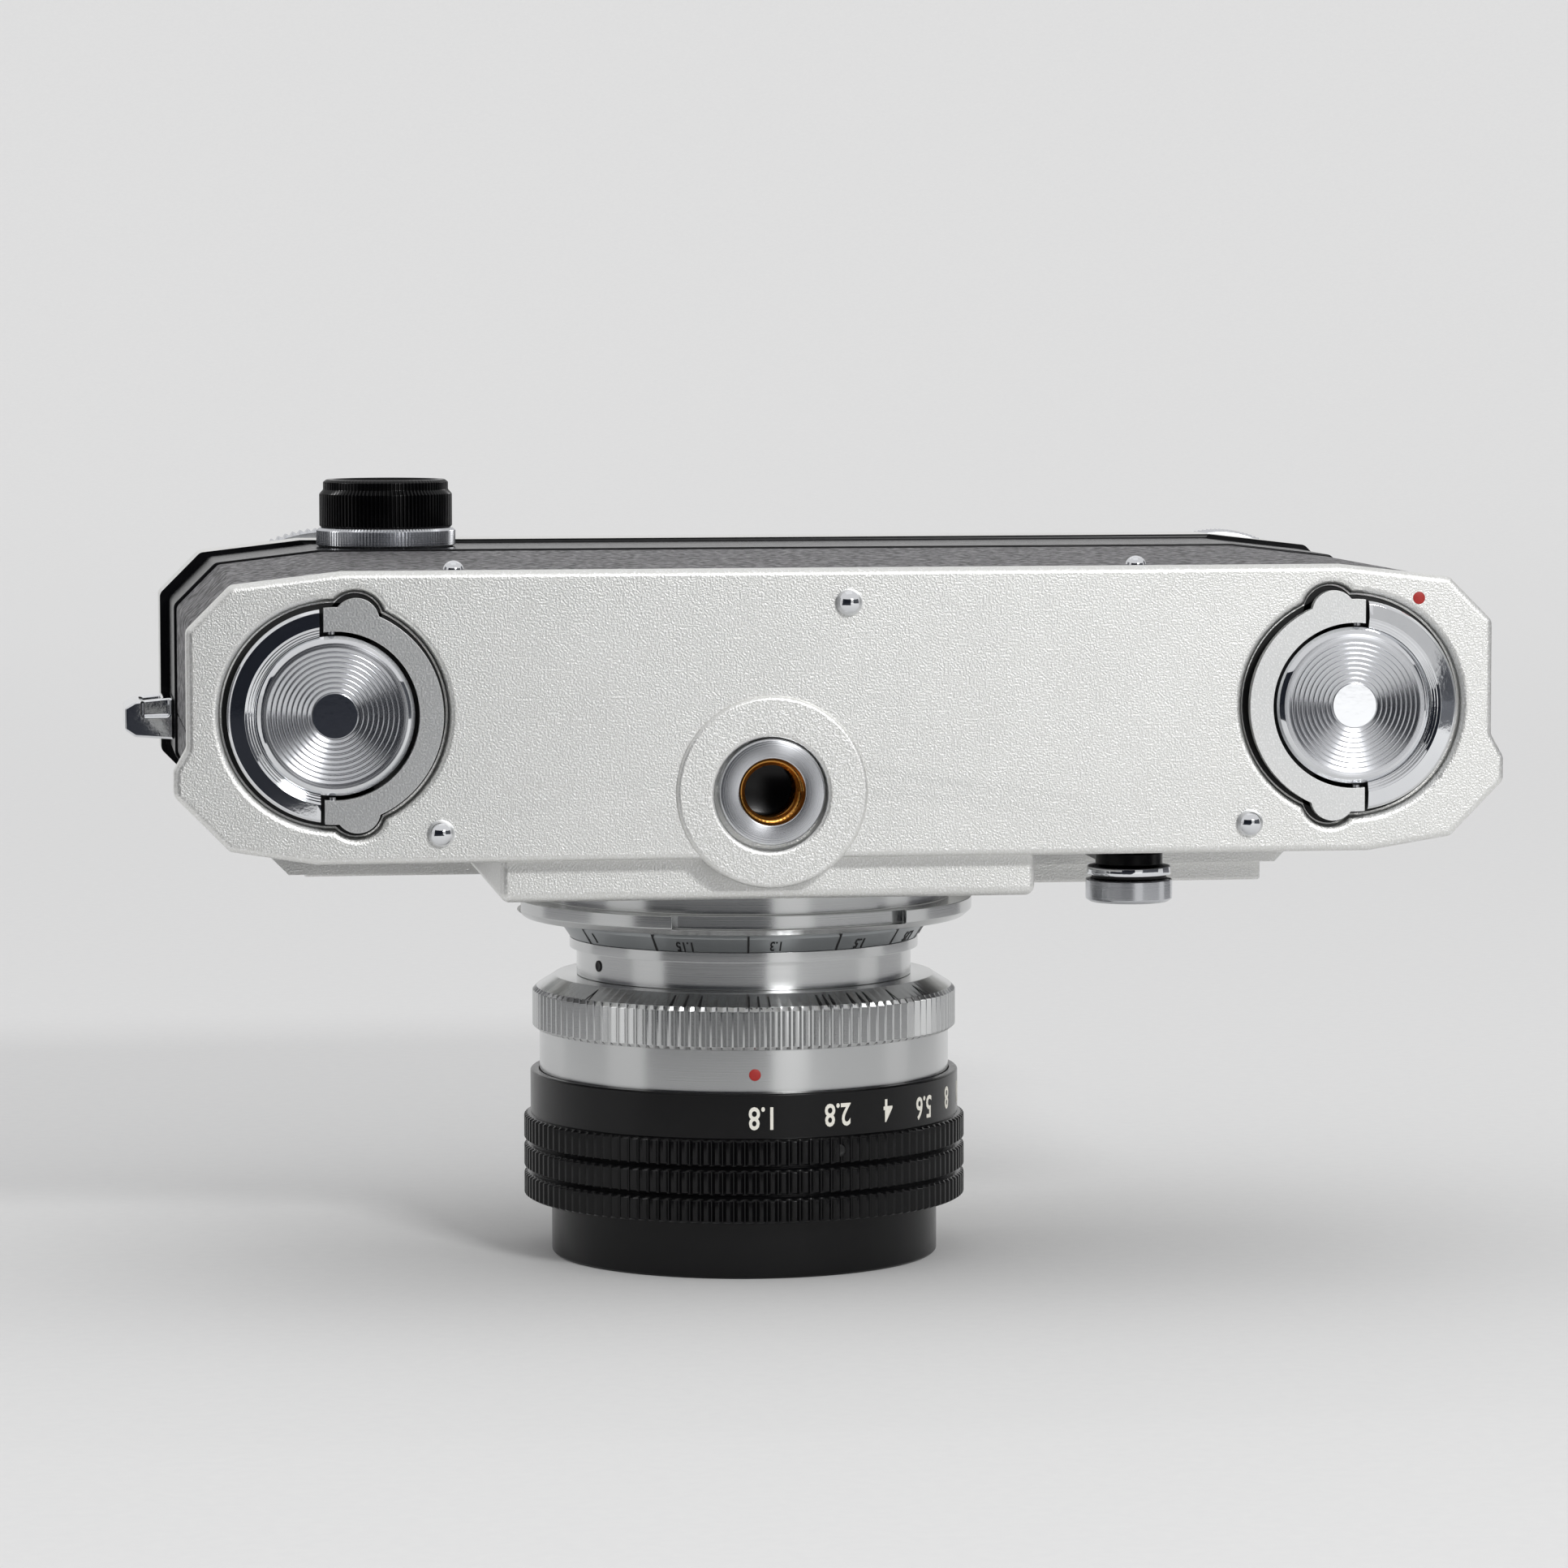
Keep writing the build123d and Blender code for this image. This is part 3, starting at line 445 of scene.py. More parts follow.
def joined(meshes):  # several meshes as one, keeping their materials
    holders = []
    for mesh in meshes:
        holder = bpy.data.objects.new("part", mesh)
        bpy.context.scene.collection.objects.link(holder)
        holders.append(holder)
    with bpy.context.temp_override(active_object=holders[0], selected_editable_objects=holders,
                                   selected_objects=holders):
        bpy.ops.object.join()
    mesh = holders[0].data
    bpy.data.objects.remove(holders[0])
    return mesh


def roundUv(mesh, axis, centre):  # the profile UV of a round part: length along the profile and angle
    layer = mesh.uv_layers.get("profile") or mesh.uv_layers.new(name="profile")
    back = axisTurn(axis, centre).inverted()
    for polygon in mesh.polygons:
        angles = []
        for loop in polygon.loop_indices:
            point = back @ mesh.vertices[mesh.loops[loop].vertex_index].co
            angle = atan2(point.y, point.x)
            if angles and abs(angle - angles[0]) > pi:
                angle += 2 * pi if angle < angles[0] else -2 * pi
            angles.append(angle)
            layer.data[loop].uv = ((hypot(point.x, point.y) + point.z) / mm, angle * 5)


def refined(node, finish, bevel=0.0, axis=None, centre=(0, 0), sharpAngle=40):  # a CAD shape with soft edges
    mesh = frame["nodes"][node].data.copy()
    work = bmesh.new()
    work.from_mesh(mesh)
    bmesh.ops.remove_doubles(work, verts=work.verts, dist=0.002 * mm)
    bmesh.ops.dissolve_limit(work, angle_limit=radians(0.5), verts=work.verts, edges=work.edges)
    written(work, mesh, finish)
    for layer in list(mesh.uv_layers):
        mesh.uv_layers.remove(layer)
    if bevel:
        mesh = applied(mesh, modifiers=[("BEVEL", {"width": bevel * mm, "segments": 3,
                                                   "limit_method": "ANGLE",
                                                   "angle_limit": radians(sharpAngle),
                                                   "miter_outer": "MITER_ARC"})])
    if axis:
        roundUv(mesh, axis, centre)
    return evenShading(mesh, sharpAngle)


# Marks: numbers, ticks and dots

def flatText(text, height, narrow, finish):  # a number as a thin flat mesh centred on the origin
    curve = bpy.data.curves.new("number", "FONT")
    curve.body = text
    curve.size = height * 1.38 * mm    # the built-in font's figures are 0.72 of its size
    curve.align_x, curve.align_y = "CENTER", "CENTER"
    curve.extrude = 0.03 * mm
    curve.offset = 0.02 * height * mm    # a heavier stroke, as cut by an engraving tool
    curve.resolution_u = 3
    holder = bpy.data.objects.new("number", curve)
    bpy.context.scene.collection.objects.link(holder)
    mesh = bpy.data.meshes.new_from_object(holder.evaluated_get(bpy.context.evaluated_depsgraph_get()))
    bpy.data.objects.remove(holder)
    middle = sum((Vector(v.co) for v in mesh.vertices), Vector()) / max(len(mesh.vertices), 1)
    for v in mesh.vertices:
        v.co = Vector(((v.co.x - middle.x) * narrow, v.co.y - middle.y, v.co.z))
    mesh.materials.clear()
    mesh.materials.append(finishes[finish])
    return mesh


def wrapOnCone(mesh, radius, slope, height, angle):  # lays a mark on a cone about Z, upside down
    for v in mesh.vertices:
        z = height - v.co.y / mm
        r = radius + slope * (z - height) + v.co.z / mm
        turn = radians(angle) - v.co.x / mm / radius
        v.co = Vector((r * sin(turn), -r * cos(turn), z)) * mm
    return mesh


def barMesh(width, height, finish):  # a thin bar for a tick, split so that it follows a curved ground
    mesh = bpy.data.meshes.new("bar")
    work = bmesh.new()
    bmesh.ops.create_grid(work, x_segments=1, y_segments=4, size=0.5)
    for v in work.verts:
        v.co = Vector((v.co.x * width, v.co.y * height, 0.02)) * mm
    bmesh.ops.solidify(work, geom=work.faces[:], thickness=0.04 * mm)
    bmesh.ops.recalc_face_normals(work, faces=work.faces)
    return written(work, mesh, finish)


def dotMesh(radius, proud, place, normal, finish):  # a drop of enamel on a surface
    mesh = bpy.data.meshes.new("dot")
    work = bmesh.new()
    bmesh.ops.create_uvsphere(work, u_segments=28, v_segments=14, radius=1)
    turn = Vector(normal).to_track_quat("Z", "Y").to_matrix().to_4x4()
    size = Matrix.Diagonal((radius * mm, radius * mm, proud * mm, 1))
    shape = Matrix.Translation(Vector(place) * mm) @ turn @ size
    bmesh.ops.transform(work, matrix=shape, verts=work.verts)
    written(work, mesh, finish).shade_smooth()
    return mesh


def onLens(radius, height, angle):  # a point on the lens, with the angle from the base side towards +X
    return (radius * sin(radians(angle)), -radius * cos(radians(angle)), height)


# Lens

lens = {
    "blackRibs": 126, "blackCut": 0.38,
    "grooves": (9.0, 12.0), "grooveHalf": 0.22,
    "silverTeeth": 124, "silverCut": 0.42,
    "segments": 144,
}


def lensPieces():
    low, high = nodeBox("front_barrel")
    rim, bore = high.x, 20.0
    rows = [(bore, low.z), (rim - 0.25, low.z), (rim, low.z + 0.25), (rim, 5.9), (rim, high.z),
            (15.6, high.z), (15.6, 9.5), (17.6, 9.5), (17.6, 3.5), (bore, 3.5)]
    for step in range(12):    # filter thread, 0.5 mm pitch
        rows.append((bore + (0.22 if step % 2 else 0.0), 3.25 - 0.25 * step))
    standFor("front_barrel", turnedMesh(rows, "anodised", count=lens["segments"], corner=0.08),
             "frontBarrel")
    rows = [(15.2, 5.8), (15.8, 5.25), (15.9, 5.4), (16.5, 4.85), (16.6, 5.0), (17.59, 3.6), (17.59, 9.4),
            (15.2, 9.4)]
    standFor("name_ring", turnedMesh(rows, "anodised", count=lens["segments"], corner=0.05), "nameRing")


def apertureRing():
    low, high = nodeBox("aperture_ring")
    outer, cut, half = high.x, lens["blackCut"], lens["grooveHalf"]
    inner = 20.73
    edges = [low.z] + list(lens["grooves"]) + [15.0]
    rows = [(inner, low.z)]
    for band in range(3):
        start = edges[band] + (half if band else 0)
        stop = edges[band + 1] - (half if band < 2 else 0)
        rows += [(outer - cut, start, 0), (outer, start + 0.22, cut), (outer, stop - 0.22, cut),
                 (outer - cut, stop, 0)]
        if band < 2:
            rows += [(outer - cut - 0.3, edges[band + 1], 0)]
    rows += [(22.9, 15.06), (22.9, high.z - 0.15), (22.75, high.z), (22.0, high.z), (22.0, 17.05),
             (inner, 17.05)]
    standFor("aperture_ring", turnedMesh(rows, "anodised", count=lens["blackRibs"], tooth="blunt",
                                         corner=0.05, sharpAngle=35), "apertureRing")


def barrelAndGrip():
    low, high = nodeBox("lens_barrel")
    barrel = 21.9
    rows = [(15.6, low.z), (barrel, low.z), (barrel, 24.2), (21.0, 24.2), (21.0, 26.9), (15.6, 26.9)]
    standFor("lens_barrel", turnedMesh(rows, "aluminium", count=lens["segments"], corner=0.06), "lensBarrel")
    low, high = nodeBox("lens_grip")
    outer, cut = high.x, lens["silverCut"]
    rows = [(15.6, 27.0), (21.05, 27.0), (21.05, low.z + 0.02), (outer - cut, low.z + 0.02),
            (outer, low.z + 0.35, cut),
            (outer, 28.25, cut), (outer - cut, 28.7, 0), (20.3, 29.9), (20.3, 29.92), (15.6, 29.92)]
    standFor("lens_grip", turnedMesh(rows, "aluminium", count=lens["silverTeeth"], tooth="peak", corner=0.02,
                                     sharpAngle=18), "lensGrip")
    rows = [(15.6, 29.95), (17.9, 29.95), (17.9, 31.0), (17.9, 32.9), (18.65, 32.9), (18.65, 33.98),
            (18.4, 34.0), (18.4, 35.9), (17.0, 35.95), (17.0, 53.0), (15.6, 53.0)]
    standFor("scale_ring", turnedMesh(rows, "aluminium", count=lens["segments"], corner=0.06), "lensNeck")
    rows = [(18.42, 34.01), (18.6, 34.01), (19.6, 35.5), (19.6, 36.0), (18.42, 36.0)]
    addPiece("distanceScale", turnedMesh(rows, "scaleGround", count=lens["segments"], corner=0.06), "lens",
             ["scale_ring"])


lensMarks = {
    "stops": {"1.8": -3.8, "2.8": 17.5, "4": 33.5, "5.6": 48.5, "8": 62.5, "11": 76.5, "16": 90.5,
              "22": 104.5},
    "stopHeight": 2.4, "stopZ": 17.35, "stopNarrow": 0.76,
    "distances": {"1": -67, "1.15": -36.2, "1.3": -5.7, "1.5": 24, "1.75": 48.8, "2": 70, "2.5": 90,
                  "3": 108, "4": 124, "5": 138, "7": 152, "10": 165},
    "distanceHeight": 1.05, "distanceZ": 34.75, "scaleSlope": 0.95 / 1.5,
    "depthAngles": (-54.7, -27.2, -23.3, -19.2, -5.8, -3.1, -0.2, 14, 16.1, 18, 24, 27.2, 29.5, 38.7, 52),
    "depthWidth": 0.2,
    "indexAngle": -4.2, "indexZ": 21.6, "indexRadius": 0.62,
}


def numbersAndLines():
    marks = lensMarks
    stops = [wrapOnCone(flatText(text, marks["stopHeight"], marks["stopNarrow"], "white"), 22.9, 0,
                        marks["stopZ"], angle)
             for text, angle in marks["stops"].items()]
    addPiece("stopNumbers", joined(stops), "aperture")
    scale = []
    for text, angle in marks["distances"].items():
        radius = 19.13
        scale.append(wrapOnCone(barMesh(0.22, 2.1, "black"), radius, marks["scaleSlope"], marks["distanceZ"],
                                angle))
        number = flatText(text, marks["distanceHeight"], 0.85, "black")
        scale.append(wrapOnCone(number, radius, marks["scaleSlope"], marks["distanceZ"],
                                angle + 3.2 + 1.6 * len(text)))
    addPiece("distanceNumbers", joined(scale), "lens")
    lines = [wrapOnCone(barMesh(marks["depthWidth"], 1.0, "black"), 21.47, -1.96, 29.25, angle)
             for angle in marks["depthAngles"]]
    addPiece("depthLines", joined(lines), "lens")
    angle = marks["indexAngle"]
    dot = dotMesh(marks["indexRadius"], 0.1, onLens(21.9, marks["indexZ"], angle), onLens(1, 0, angle),
                  "red")
    addPiece("lensIndexDot", dot, "lens")


setScrews = {    # piece: (body, radius from the axis, height, angle, screw radius)
    "ringSetScrew": ("aperture", 23.4, 13.6, 18.0, 0.62),
    "neckSetScrew": ("lens", 17.9, 31.6, -66.0, 0.6),
}


def setScrewPieces():
    for name, (body, radius, height, angle, size) in setScrews.items():
        rows = [(0, -0.5), (size, -0.5), (size, 0.08), (size * 0.8, 0.12), (size * 0.55, 0.1),
                (size * 0.45, 0.06), (0, 0.06)]
        # the screws are near-black: painted shade of the screw holes
        mesh = turnedMesh(rows, "paintedShade", count=24, corner=0.02)
        turn = Vector(onLens(1, 0, angle)).to_track_quat("Z", "Y").to_matrix().to_4x4()
        mesh.transform(Matrix.Translation(Vector(onLens(radius, height, angle)) * mm) @ turn)
        addPiece(name, mesh, body)


lensPieces()
apertureRing()
barrelAndGrip()
numbersAndLines()
setScrewPieces()
for node, name, finish in (("mount_flange", "mountFlange", "aluminium"),
                           ("helicoid_sleeve", "helicoidSleeve", "brass"),
                           ("iris_unit", "irisUnit", "anodised")):
    standFor(node, refined(node, finish, 0.08, "Z"), name)
standFor("front_element", refined("front_element", "amberGlass"), "frontGlass")
standFor("rear_element", refined("rear_element", "blueGlass"), "rearGlass")
print("lens made")


# Base plate, locks and tripod socket

lockParts = {
    "plainRadius": 2.25, "landRadius": 6.85, "grooves": 9, "grooveDepth": 0.14,
    "faceRadius": 7.3, "bevelDepth": 0.5,
    "ringSteps": 3, "ringFall": 0.18, "ringEnd": 1.5, "handleBevel": 0.22,
    "wellRadius": 11.2, "wellY": -34.86, "earAngle": 77, "earReach": 9.7, "earRadius": 2.7,
}


def lockDisc(side):
    node = "lock_disc_" + side
    low, high = nodeBox(node)
    centre, radius = roundOf(low, high)
    values, top = lockParts, low.y
    pitch = (values["landRadius"] - values["plainRadius"]) / values["grooves"]
    rows = [(0, top), (values["plainRadius"], top)]
    for i in range(values["grooves"]):
        start = values["plainRadius"] + i * pitch
        rows += [(start + 0.12 * pitch, top + values["grooveDepth"]),
                 (start + 0.3 * pitch, top + values["grooveDepth"]),
                 (start + 0.8 * pitch, top + 0.02), (start + pitch, top)]
    rows += [(values["faceRadius"], top), (radius, top + values["bevelDepth"]), (radius, high.y),
             (0, high.y)]
    mesh = turnedMesh(rows, "turnedChrome", "Y", centre, count=128, corner=0.02, sharpAngle=14)
    mesh.materials.append(finishes["mirror"])
    polished = len(mesh.materials) - 1
    for polygon in mesh.polygons:    # the plain centre and the bevel are polished
        reach = hypot(polygon.center.x / mm - centre[0], polygon.center.z / mm - centre[1])
        if reach < values["plainRadius"] or reach > values["faceRadius"]:
            polygon.material_index = polished
    standFor(node, mesh, "lockDisc" + side.title())


def halfTurned(rows, centre, middle, end, finish):  # half of a part turned about Y, cut straight
    mesh = bpy.data.meshes.new("half")
    work = bmesh.new()
    uv = work.loops.layers.uv.new("profile")
    steps = 64
    columns = []
    for k in range(steps + 1):
        column = []
        for r, y, _ in rows:
            angle = radians(middle) + (pi / 2 - asin(end / r)) * (2 * k / steps - 1)
            place = Vector((centre[0] + r * cos(angle), y, centre[1] + r * sin(angle)))
            column.append(work.verts.new(place * mm))
        columns.append(column)
    for k in range(steps):
        for i in range(len(rows)):
            j = (i + 1) % len(rows)
            face = work.faces.new((columns[k][i], columns[k][j], columns[k + 1][j], columns[k + 1][i]))
            for loop, (along, turn) in zip(face.loops, ((i, k), (i + 1, k), (i + 1, k + 1), (i, k + 1))):
                loop[uv].uv = (along * 0.4, turn / 10)
    work.faces.new(columns[0][::-1])
    work.faces.new(columns[-1])
    bmesh.ops.recalc_face_normals(work, faces=work.faces)
    return evenShading(written(work, mesh, finish), 24)


def lockRing(side):  # the fixed half of the ring, with three fine steps on its inner edge
    values = lockParts
    low, high = nodeBox("lock_disc_" + side)
    centre, discRadius = roundOf(low, high)
    inner = discRadius + 0.04
    low, high = nodeBox("lock_ring_" + side)
    outer, top = (high.z - low.z) / 2, low.y
    rows = [(inner, high.y), (inner, top + 0.42)]
    for step in range(values["ringSteps"]):
        rows += [(inner + 0.06 + 0.26 * step, top + 0.36 - 0.1 * step),
                 (inner + 0.2 + 0.26 * step, top + 0.36 - 0.1 * step)]
    rows += [(inner + 0.95, top), (outer - 0.3, top + values["ringFall"]), (outer, top + 0.5),
             (outer, high.y)]
    middle = 180 if side == "left" else 0
    mesh = halfTurned(softCorners(rows, 0.04), centre, middle, values["ringEnd"], "mirror")
    standFor("lock_ring_" + side, mesh, "lockRing" + side.title())


def lockWell(side):  # a near-black disc in the gap round a lock, where the base is open to the mechanism: painted shade of the gap
    mesh = bpy.data.meshes.new("well")
    work = bmesh.new()
    centre = roundOf(*nodeBox("lock_disc_" + side))[0]
    sign = 1 if side == "left" else -1
    values = lockParts
    circles = [(*centre, values["wellRadius"])]
    for way in (-1, 1):
        angle = radians(way * values["earAngle"])
        circles.append((centre[0] + sign * values["earReach"] * cos(angle),
                        centre[1] + values["earReach"] * sin(angle), values["earRadius"]))
    for x, z, radius in circles:
        place = Matrix.Translation(Vector((x, values["wellY"], z)) * mm)
        bmesh.ops.create_cone(work, cap_ends=True, segments=96, radius1=radius * mm, radius2=radius * mm,
                              depth=0.06 * mm, matrix=place @ Matrix.Rotation(radians(90), 4, "X"))
    addPiece("lockWell" + side.title(), written(work, mesh, "paintedShade"), bodyOf["base_plate"])


def lockPieces():
    for side in ("left", "right"):
        lockDisc(side)
        lockRing(side)
        lockWell(side)
        handle, pins = "lock_handle_" + side, "handle_pins_" + side
        standFor(handle, refined(handle, "smoothSatin", lockParts["handleBevel"]),
                 "lockHandle" + side.title())
        standFor(pins, refined(pins, "steel"), "handlePins" + side.title())


tripod = {"insertRadius": 5.4, "boreRadius": 3.175, "liningRadius": 3.38, "pitch": 1.27, "threadDepth": 0.5}


def tripodPieces():
    low, high = nodeBox("tripod_socket")
    centre = roundOf(low, high)[0]
    top, bottom = low.y, high.y
    values = tripod
    outer, bore, lining = values["insertRadius"], values["boreRadius"], values["liningRadius"]
    rows = [(lining, top + 0.1), (lining + 0.1, top), (outer - 0.18, top), (outer, top + 0.2),
            (outer, top + 1.8),
            (outer - 0.8, top + 1.8), (outer - 0.8, bottom - 0.3), (lining, bottom - 0.3)]
    standFor("tripod_socket", turnedMesh(rows, "turnedChrome", "Y", centre, corner=0.05), "tripodInsert")
    rows = [(bore + 0.15, top + 0.16), (lining - 0.02, top + 0.08), (lining - 0.02, bottom - 1.2),
            (bore, bottom - 1.2), (bore, top + 0.5)]
    addPiece("threadLining", turnedMesh(rows, "brass", "Y", centre, corner=0.03), bodyOf["tripod_socket"],
             ["tripod_socket"])
    # the socket's floor is black anodised: painted shade at the bottom of the deep hole
    rows = [(0, bottom - 0.25), (bore - 0.5, bottom - 1.0), (lining, bottom - 1.1), (lining, bottom),
            (0, bottom)]
    addPiece("socketFloor", turnedMesh(rows, "anodised", "Y", centre, corner=0.03), bodyOf["tripod_socket"],
             ["tripod_socket"])
    height = bottom - top - 2.2
    thread = applied(bpy.data.meshes.new("start"), trees["thread"],
                     {"Turns": height / values["pitch"], "Radius": bore * mm, "Height": height * mm,
                      "Depth": values["threadDepth"] * mm, "Finish": finishes["brass"]})
    thread.transform(axisTurn("Y", centre) @ Matrix.Translation((0, 0, (top + 0.7) * mm)))
    roundUv(thread, "Y", centre)
    addPiece("tripodThread", thread, bodyOf["tripod_socket"], ["tripod_socket"])


studs = {"footRadius": 1.38, "footProud": 1.35, "backRadius": 1.05, "backProud": 0.95, "backHeight": 3.0}


def studPieces():
    middle = 6.25
    base, back = -36.0, nodeBox("back_leather")[1].z
    feet = [(middle - 41.3, base, 48.45), (middle + 41.3, base, 48.45), (middle, base, 71.3)]
    rear = [(middle + x, -33.2 + studs["backHeight"], back) for x in (-39.5, 30.5)]
    meshes = []
    foot, knob = studs["footProud"] / studs["footRadius"], studs["backProud"] / studs["backRadius"]
    for places, radius, flatness in ((feet, studs["footRadius"], (1, foot, 1)),
                                     (rear, studs["backRadius"], (1, 1, knob))):
        points = bpy.data.meshes.new("places")
        points.from_pydata([Vector(place) * mm for place in places], [], [])
        mesh = applied(points, trees["domes"], {"Radius": radius * mm, "Flatness": flatness,
                                                "Finish": finishes["mirror"]})
        mesh.shade_smooth()
        meshes.append(mesh)
    standFor("dome_studs", joined(meshes), "domeStuds")
    addPiece("baseDot", dotMesh(0.64, 0.08, (65.07, -36.0, 71.26), (0, -1, 0), "red"), bodyOf["base_plate"])


standFor("base_plate", refined("base_plate", "satin", sharpAngle=50), "basePlate")
lockPieces()
tripodPieces()
studPieces()
print("base made")


# Body: leather, back, band, cover and mount

plainParts = {    # CAD node: (piece name, finish, edge softening)
    "front_leather_left": ("frontLeatherLeft", "leather", 0.0),
    "front_leather_right": ("frontLeatherRight", "leather", 0.0),
    "back_leather": ("backLeather", "leather", 0.12),
    "back_shell": ("backShell", "enamel", 0.1),
    "shoulder_band": ("shoulderBand", "enamel", 0.15),
    "top_cover": ("topCover", "satin", 0.0),
    "viewfinder_bezel": ("viewfinderBezel", "satin", 0.1),
    "rangefinder_bezel": ("rangefinderBezel", "satin", 0.1),
    "mount_apron": ("mountApron", "satin", 0.12),
    "accessory_shoe": ("accessoryShoe", "mirror", 0.2),
    "strap_lug_left": ("strapLugLeft", "mirror", 0.25),
    "strap_lug_right": ("strapLugRight", "mirror", 0.25),
    "body_casting": ("bodyCasting", "cast", 0.0),
    "film_gate": ("filmGate", "steel", 0.1),
    "pressure_plate": ("pressurePlate", "anodised", 0.12),
    "pressure_spring": ("pressureSpring", "steel", 0.08),
    "shutter_curtain": ("shutterCurtain", "curtain", 0.0),
    "rangefinder_block": ("rangefinderBlock", "cast", 0.2),
    "viewfinder_window": ("viewfinderWindow", "windowGlass", 0.0),
    "frame_window": ("frameWindow", "windowGlass", 0.0),
    "rangefinder_window": ("rangefinderWindow", "windowGlass", 0.0),
    "advance_lever": ("advanceLever", "mirror", 0.2),
    "rewind_crank": ("rewindCrank", "mirror", 0.15),
    "rewind_fork": ("rewindFork", "steel", 0.1),
    "sprocket_shaft": ("sprocketShaft", "anodised", 0.08),
    "take_up_spool": ("takeUpSpool", "anodised", 0.12),
    "curtain_drums": ("curtainDrums", "anodised", 0.1),
    "button_collar": ("buttonCollar", "mirror", 0.1),
}
for node, (name, finish, bevel) in plainParts.items():
    piece = standFor(node, refined(node, finish, bevel), name)
    if node == "top_cover":    # the rim that meets the black band is painted black too
        piece.data.materials.append(finishes["enamel"])
        for polygon in piece.data.polygons:
            if 33.9 < polygon.center.y / mm < 34.85 and polygon.center.z / mm > 41:
                polygon.material_index = 1
print("body made")


# Self-timer, dials, knobs and buttons

timer = {
    "centre": (41.2, -4.0),
    # tops and finishes of its layers; the near-black layer is painted shade in a groove
    "layers": ((39.85, "turnedChrome"), (40.3, "paintedShade"), (41.25, "mirror"), (60, "anodised")),
}


def timerPieces():
    centre = timer["centre"]
    mesh = refined("timer_lever", "turnedChrome", 0.12, "Z", centre)
    first = len(mesh.materials)
    for top, finish in timer["layers"]:
        mesh.materials.append(finishes[finish])
    for polygon in mesh.polygons:
        height = polygon.center.z / mm
        polygon.material_index = first + sum(height > top for top, finish in timer["layers"])
    standFor("timer_lever", mesh, "timerLever")
    standFor("timer_collar", refined("timer_collar", "anodised", 0.12, "Z", centre), "timerCollar")


knobs = {    # turned controls on the top cover: teeth, tooth shape and cut
    "film_dial": {"name": "filmDial", "count": 113, "tooth": "scallop", "cut": 0.32},
    "speed_dial": {"name": "speedDial", "count": 150, "tooth": "vee", "cut": 0.2},
    "rewind_release": {"name": "rewindRelease", "count": 60, "tooth": "vee", "cut": 0.15},
}


def knobPieces():
    dial = knobs["film_dial"]
    low, high = nodeBox("film_dial")
    centre, r = roundOf(low, high)
    bottom, top = low.y, high.y
    rows = [(3.2, bottom), (r - 0.4, bottom), (r, bottom + 0.4, dial["cut"]), (r, top - 0.8, dial["cut"]),
            (r - 0.8, top - 0.05), (r - 1.6, top - 0.05), (r - 1.7, top - 0.25), (r - 4.4, top - 0.25),
            (r - 4.5, top), (3.2, top)]
    mesh = turnedMesh(rows, "turnedChrome", "Y", centre, dial["count"], dial["tooth"], 0.06)
    standFor("film_dial", mesh, dial["name"])
    dial = knobs["speed_dial"]
    low, high = nodeBox("speed_dial")
    centre, r = roundOf(low, high)
    bottom, top = low.y, high.y
    rows = [(1.5, bottom), (r - 0.3, bottom), (r, bottom + 0.3, dial["cut"]), (r, top - 0.8, dial["cut"]),
            (r - 0.8, top), (1.5, top)]
    mesh = turnedMesh(rows, "turnedChrome", "Y", centre, dial["count"], dial["tooth"], 0.06)
    standFor("speed_dial", mesh, dial["name"])
    dial = knobs["rewind_release"]
    low, high = nodeBox("rewind_release")
    centre, r = roundOf(low, high)
    bottom, top = low.y, high.y
    rows = [(0, bottom), (2.1, bottom), (2.1, 44.1), (r - 0.3, 44.1), (r, 44.4, dial["cut"]),
            (r, top - 0.5, dial["cut"]), (r - 0.4, top), (1.2, top), (1.0, top - 0.15), (0, top - 0.15)]
    mesh = turnedMesh(rows, "turnedChrome", "Y", centre, dial["count"], dial["tooth"], 0.06)
    standFor("rewind_release", mesh, dial["name"])
    standFor("rewind_knob", refined("rewind_knob", "mirror", 0.15), "rewindKnob")
    standFor("release_button", refined("release_button", "mirror", 0.12), "releaseButton")


eyepiece = {"ribs": 124, "ribCut": 0.3, "flutes": 100, "fluteCut": 0.32}


def eyepiecePieces():
    low, high = nodeBox("eyepiece_ring")
    centre, r = roundOf(low, high, "Z")
    cut = eyepiece["ribCut"]
    rows = [(5.0, low.z), (r - 0.35, low.z), (r, low.z + 0.25, cut), (r, high.z - 0.3, cut),
            (r - 0.35, high.z), (5.0, high.z)]
    mesh = turnedMesh(rows, "turnedChrome", "Z", centre, eyepiece["ribs"], "vee", 0.03, 20)
    standFor("eyepiece_ring", mesh, "eyepieceRing")
    low, high = nodeBox("eyepiece_adapter")
    centre, r = roundOf(low, high, "Z")
    cut = eyepiece["fluteCut"]
    rows = [(5.4, low.z), (r - 0.25, low.z), (r, low.z + 0.25, cut), (r, 80.6, cut), (6.87, 81.1, 0.2),
            (6.87, 81.9, 0.2), (6.5, high.z), (5.9, high.z), (5.4, 81.2)]
    mesh = turnedMesh(rows, "anodised", "Z", centre, eyepiece["flutes"], "blunt", 0.05)
    standFor("eyepiece_adapter", mesh, "eyepieceAdapter")
    standFor("eyepiece_lens", refined("eyepiece_lens", "windowGlass"), "eyepieceGlass")


timerPieces()
knobPieces()
eyepiecePieces()
print("controls made")


# Floor, lights and camera

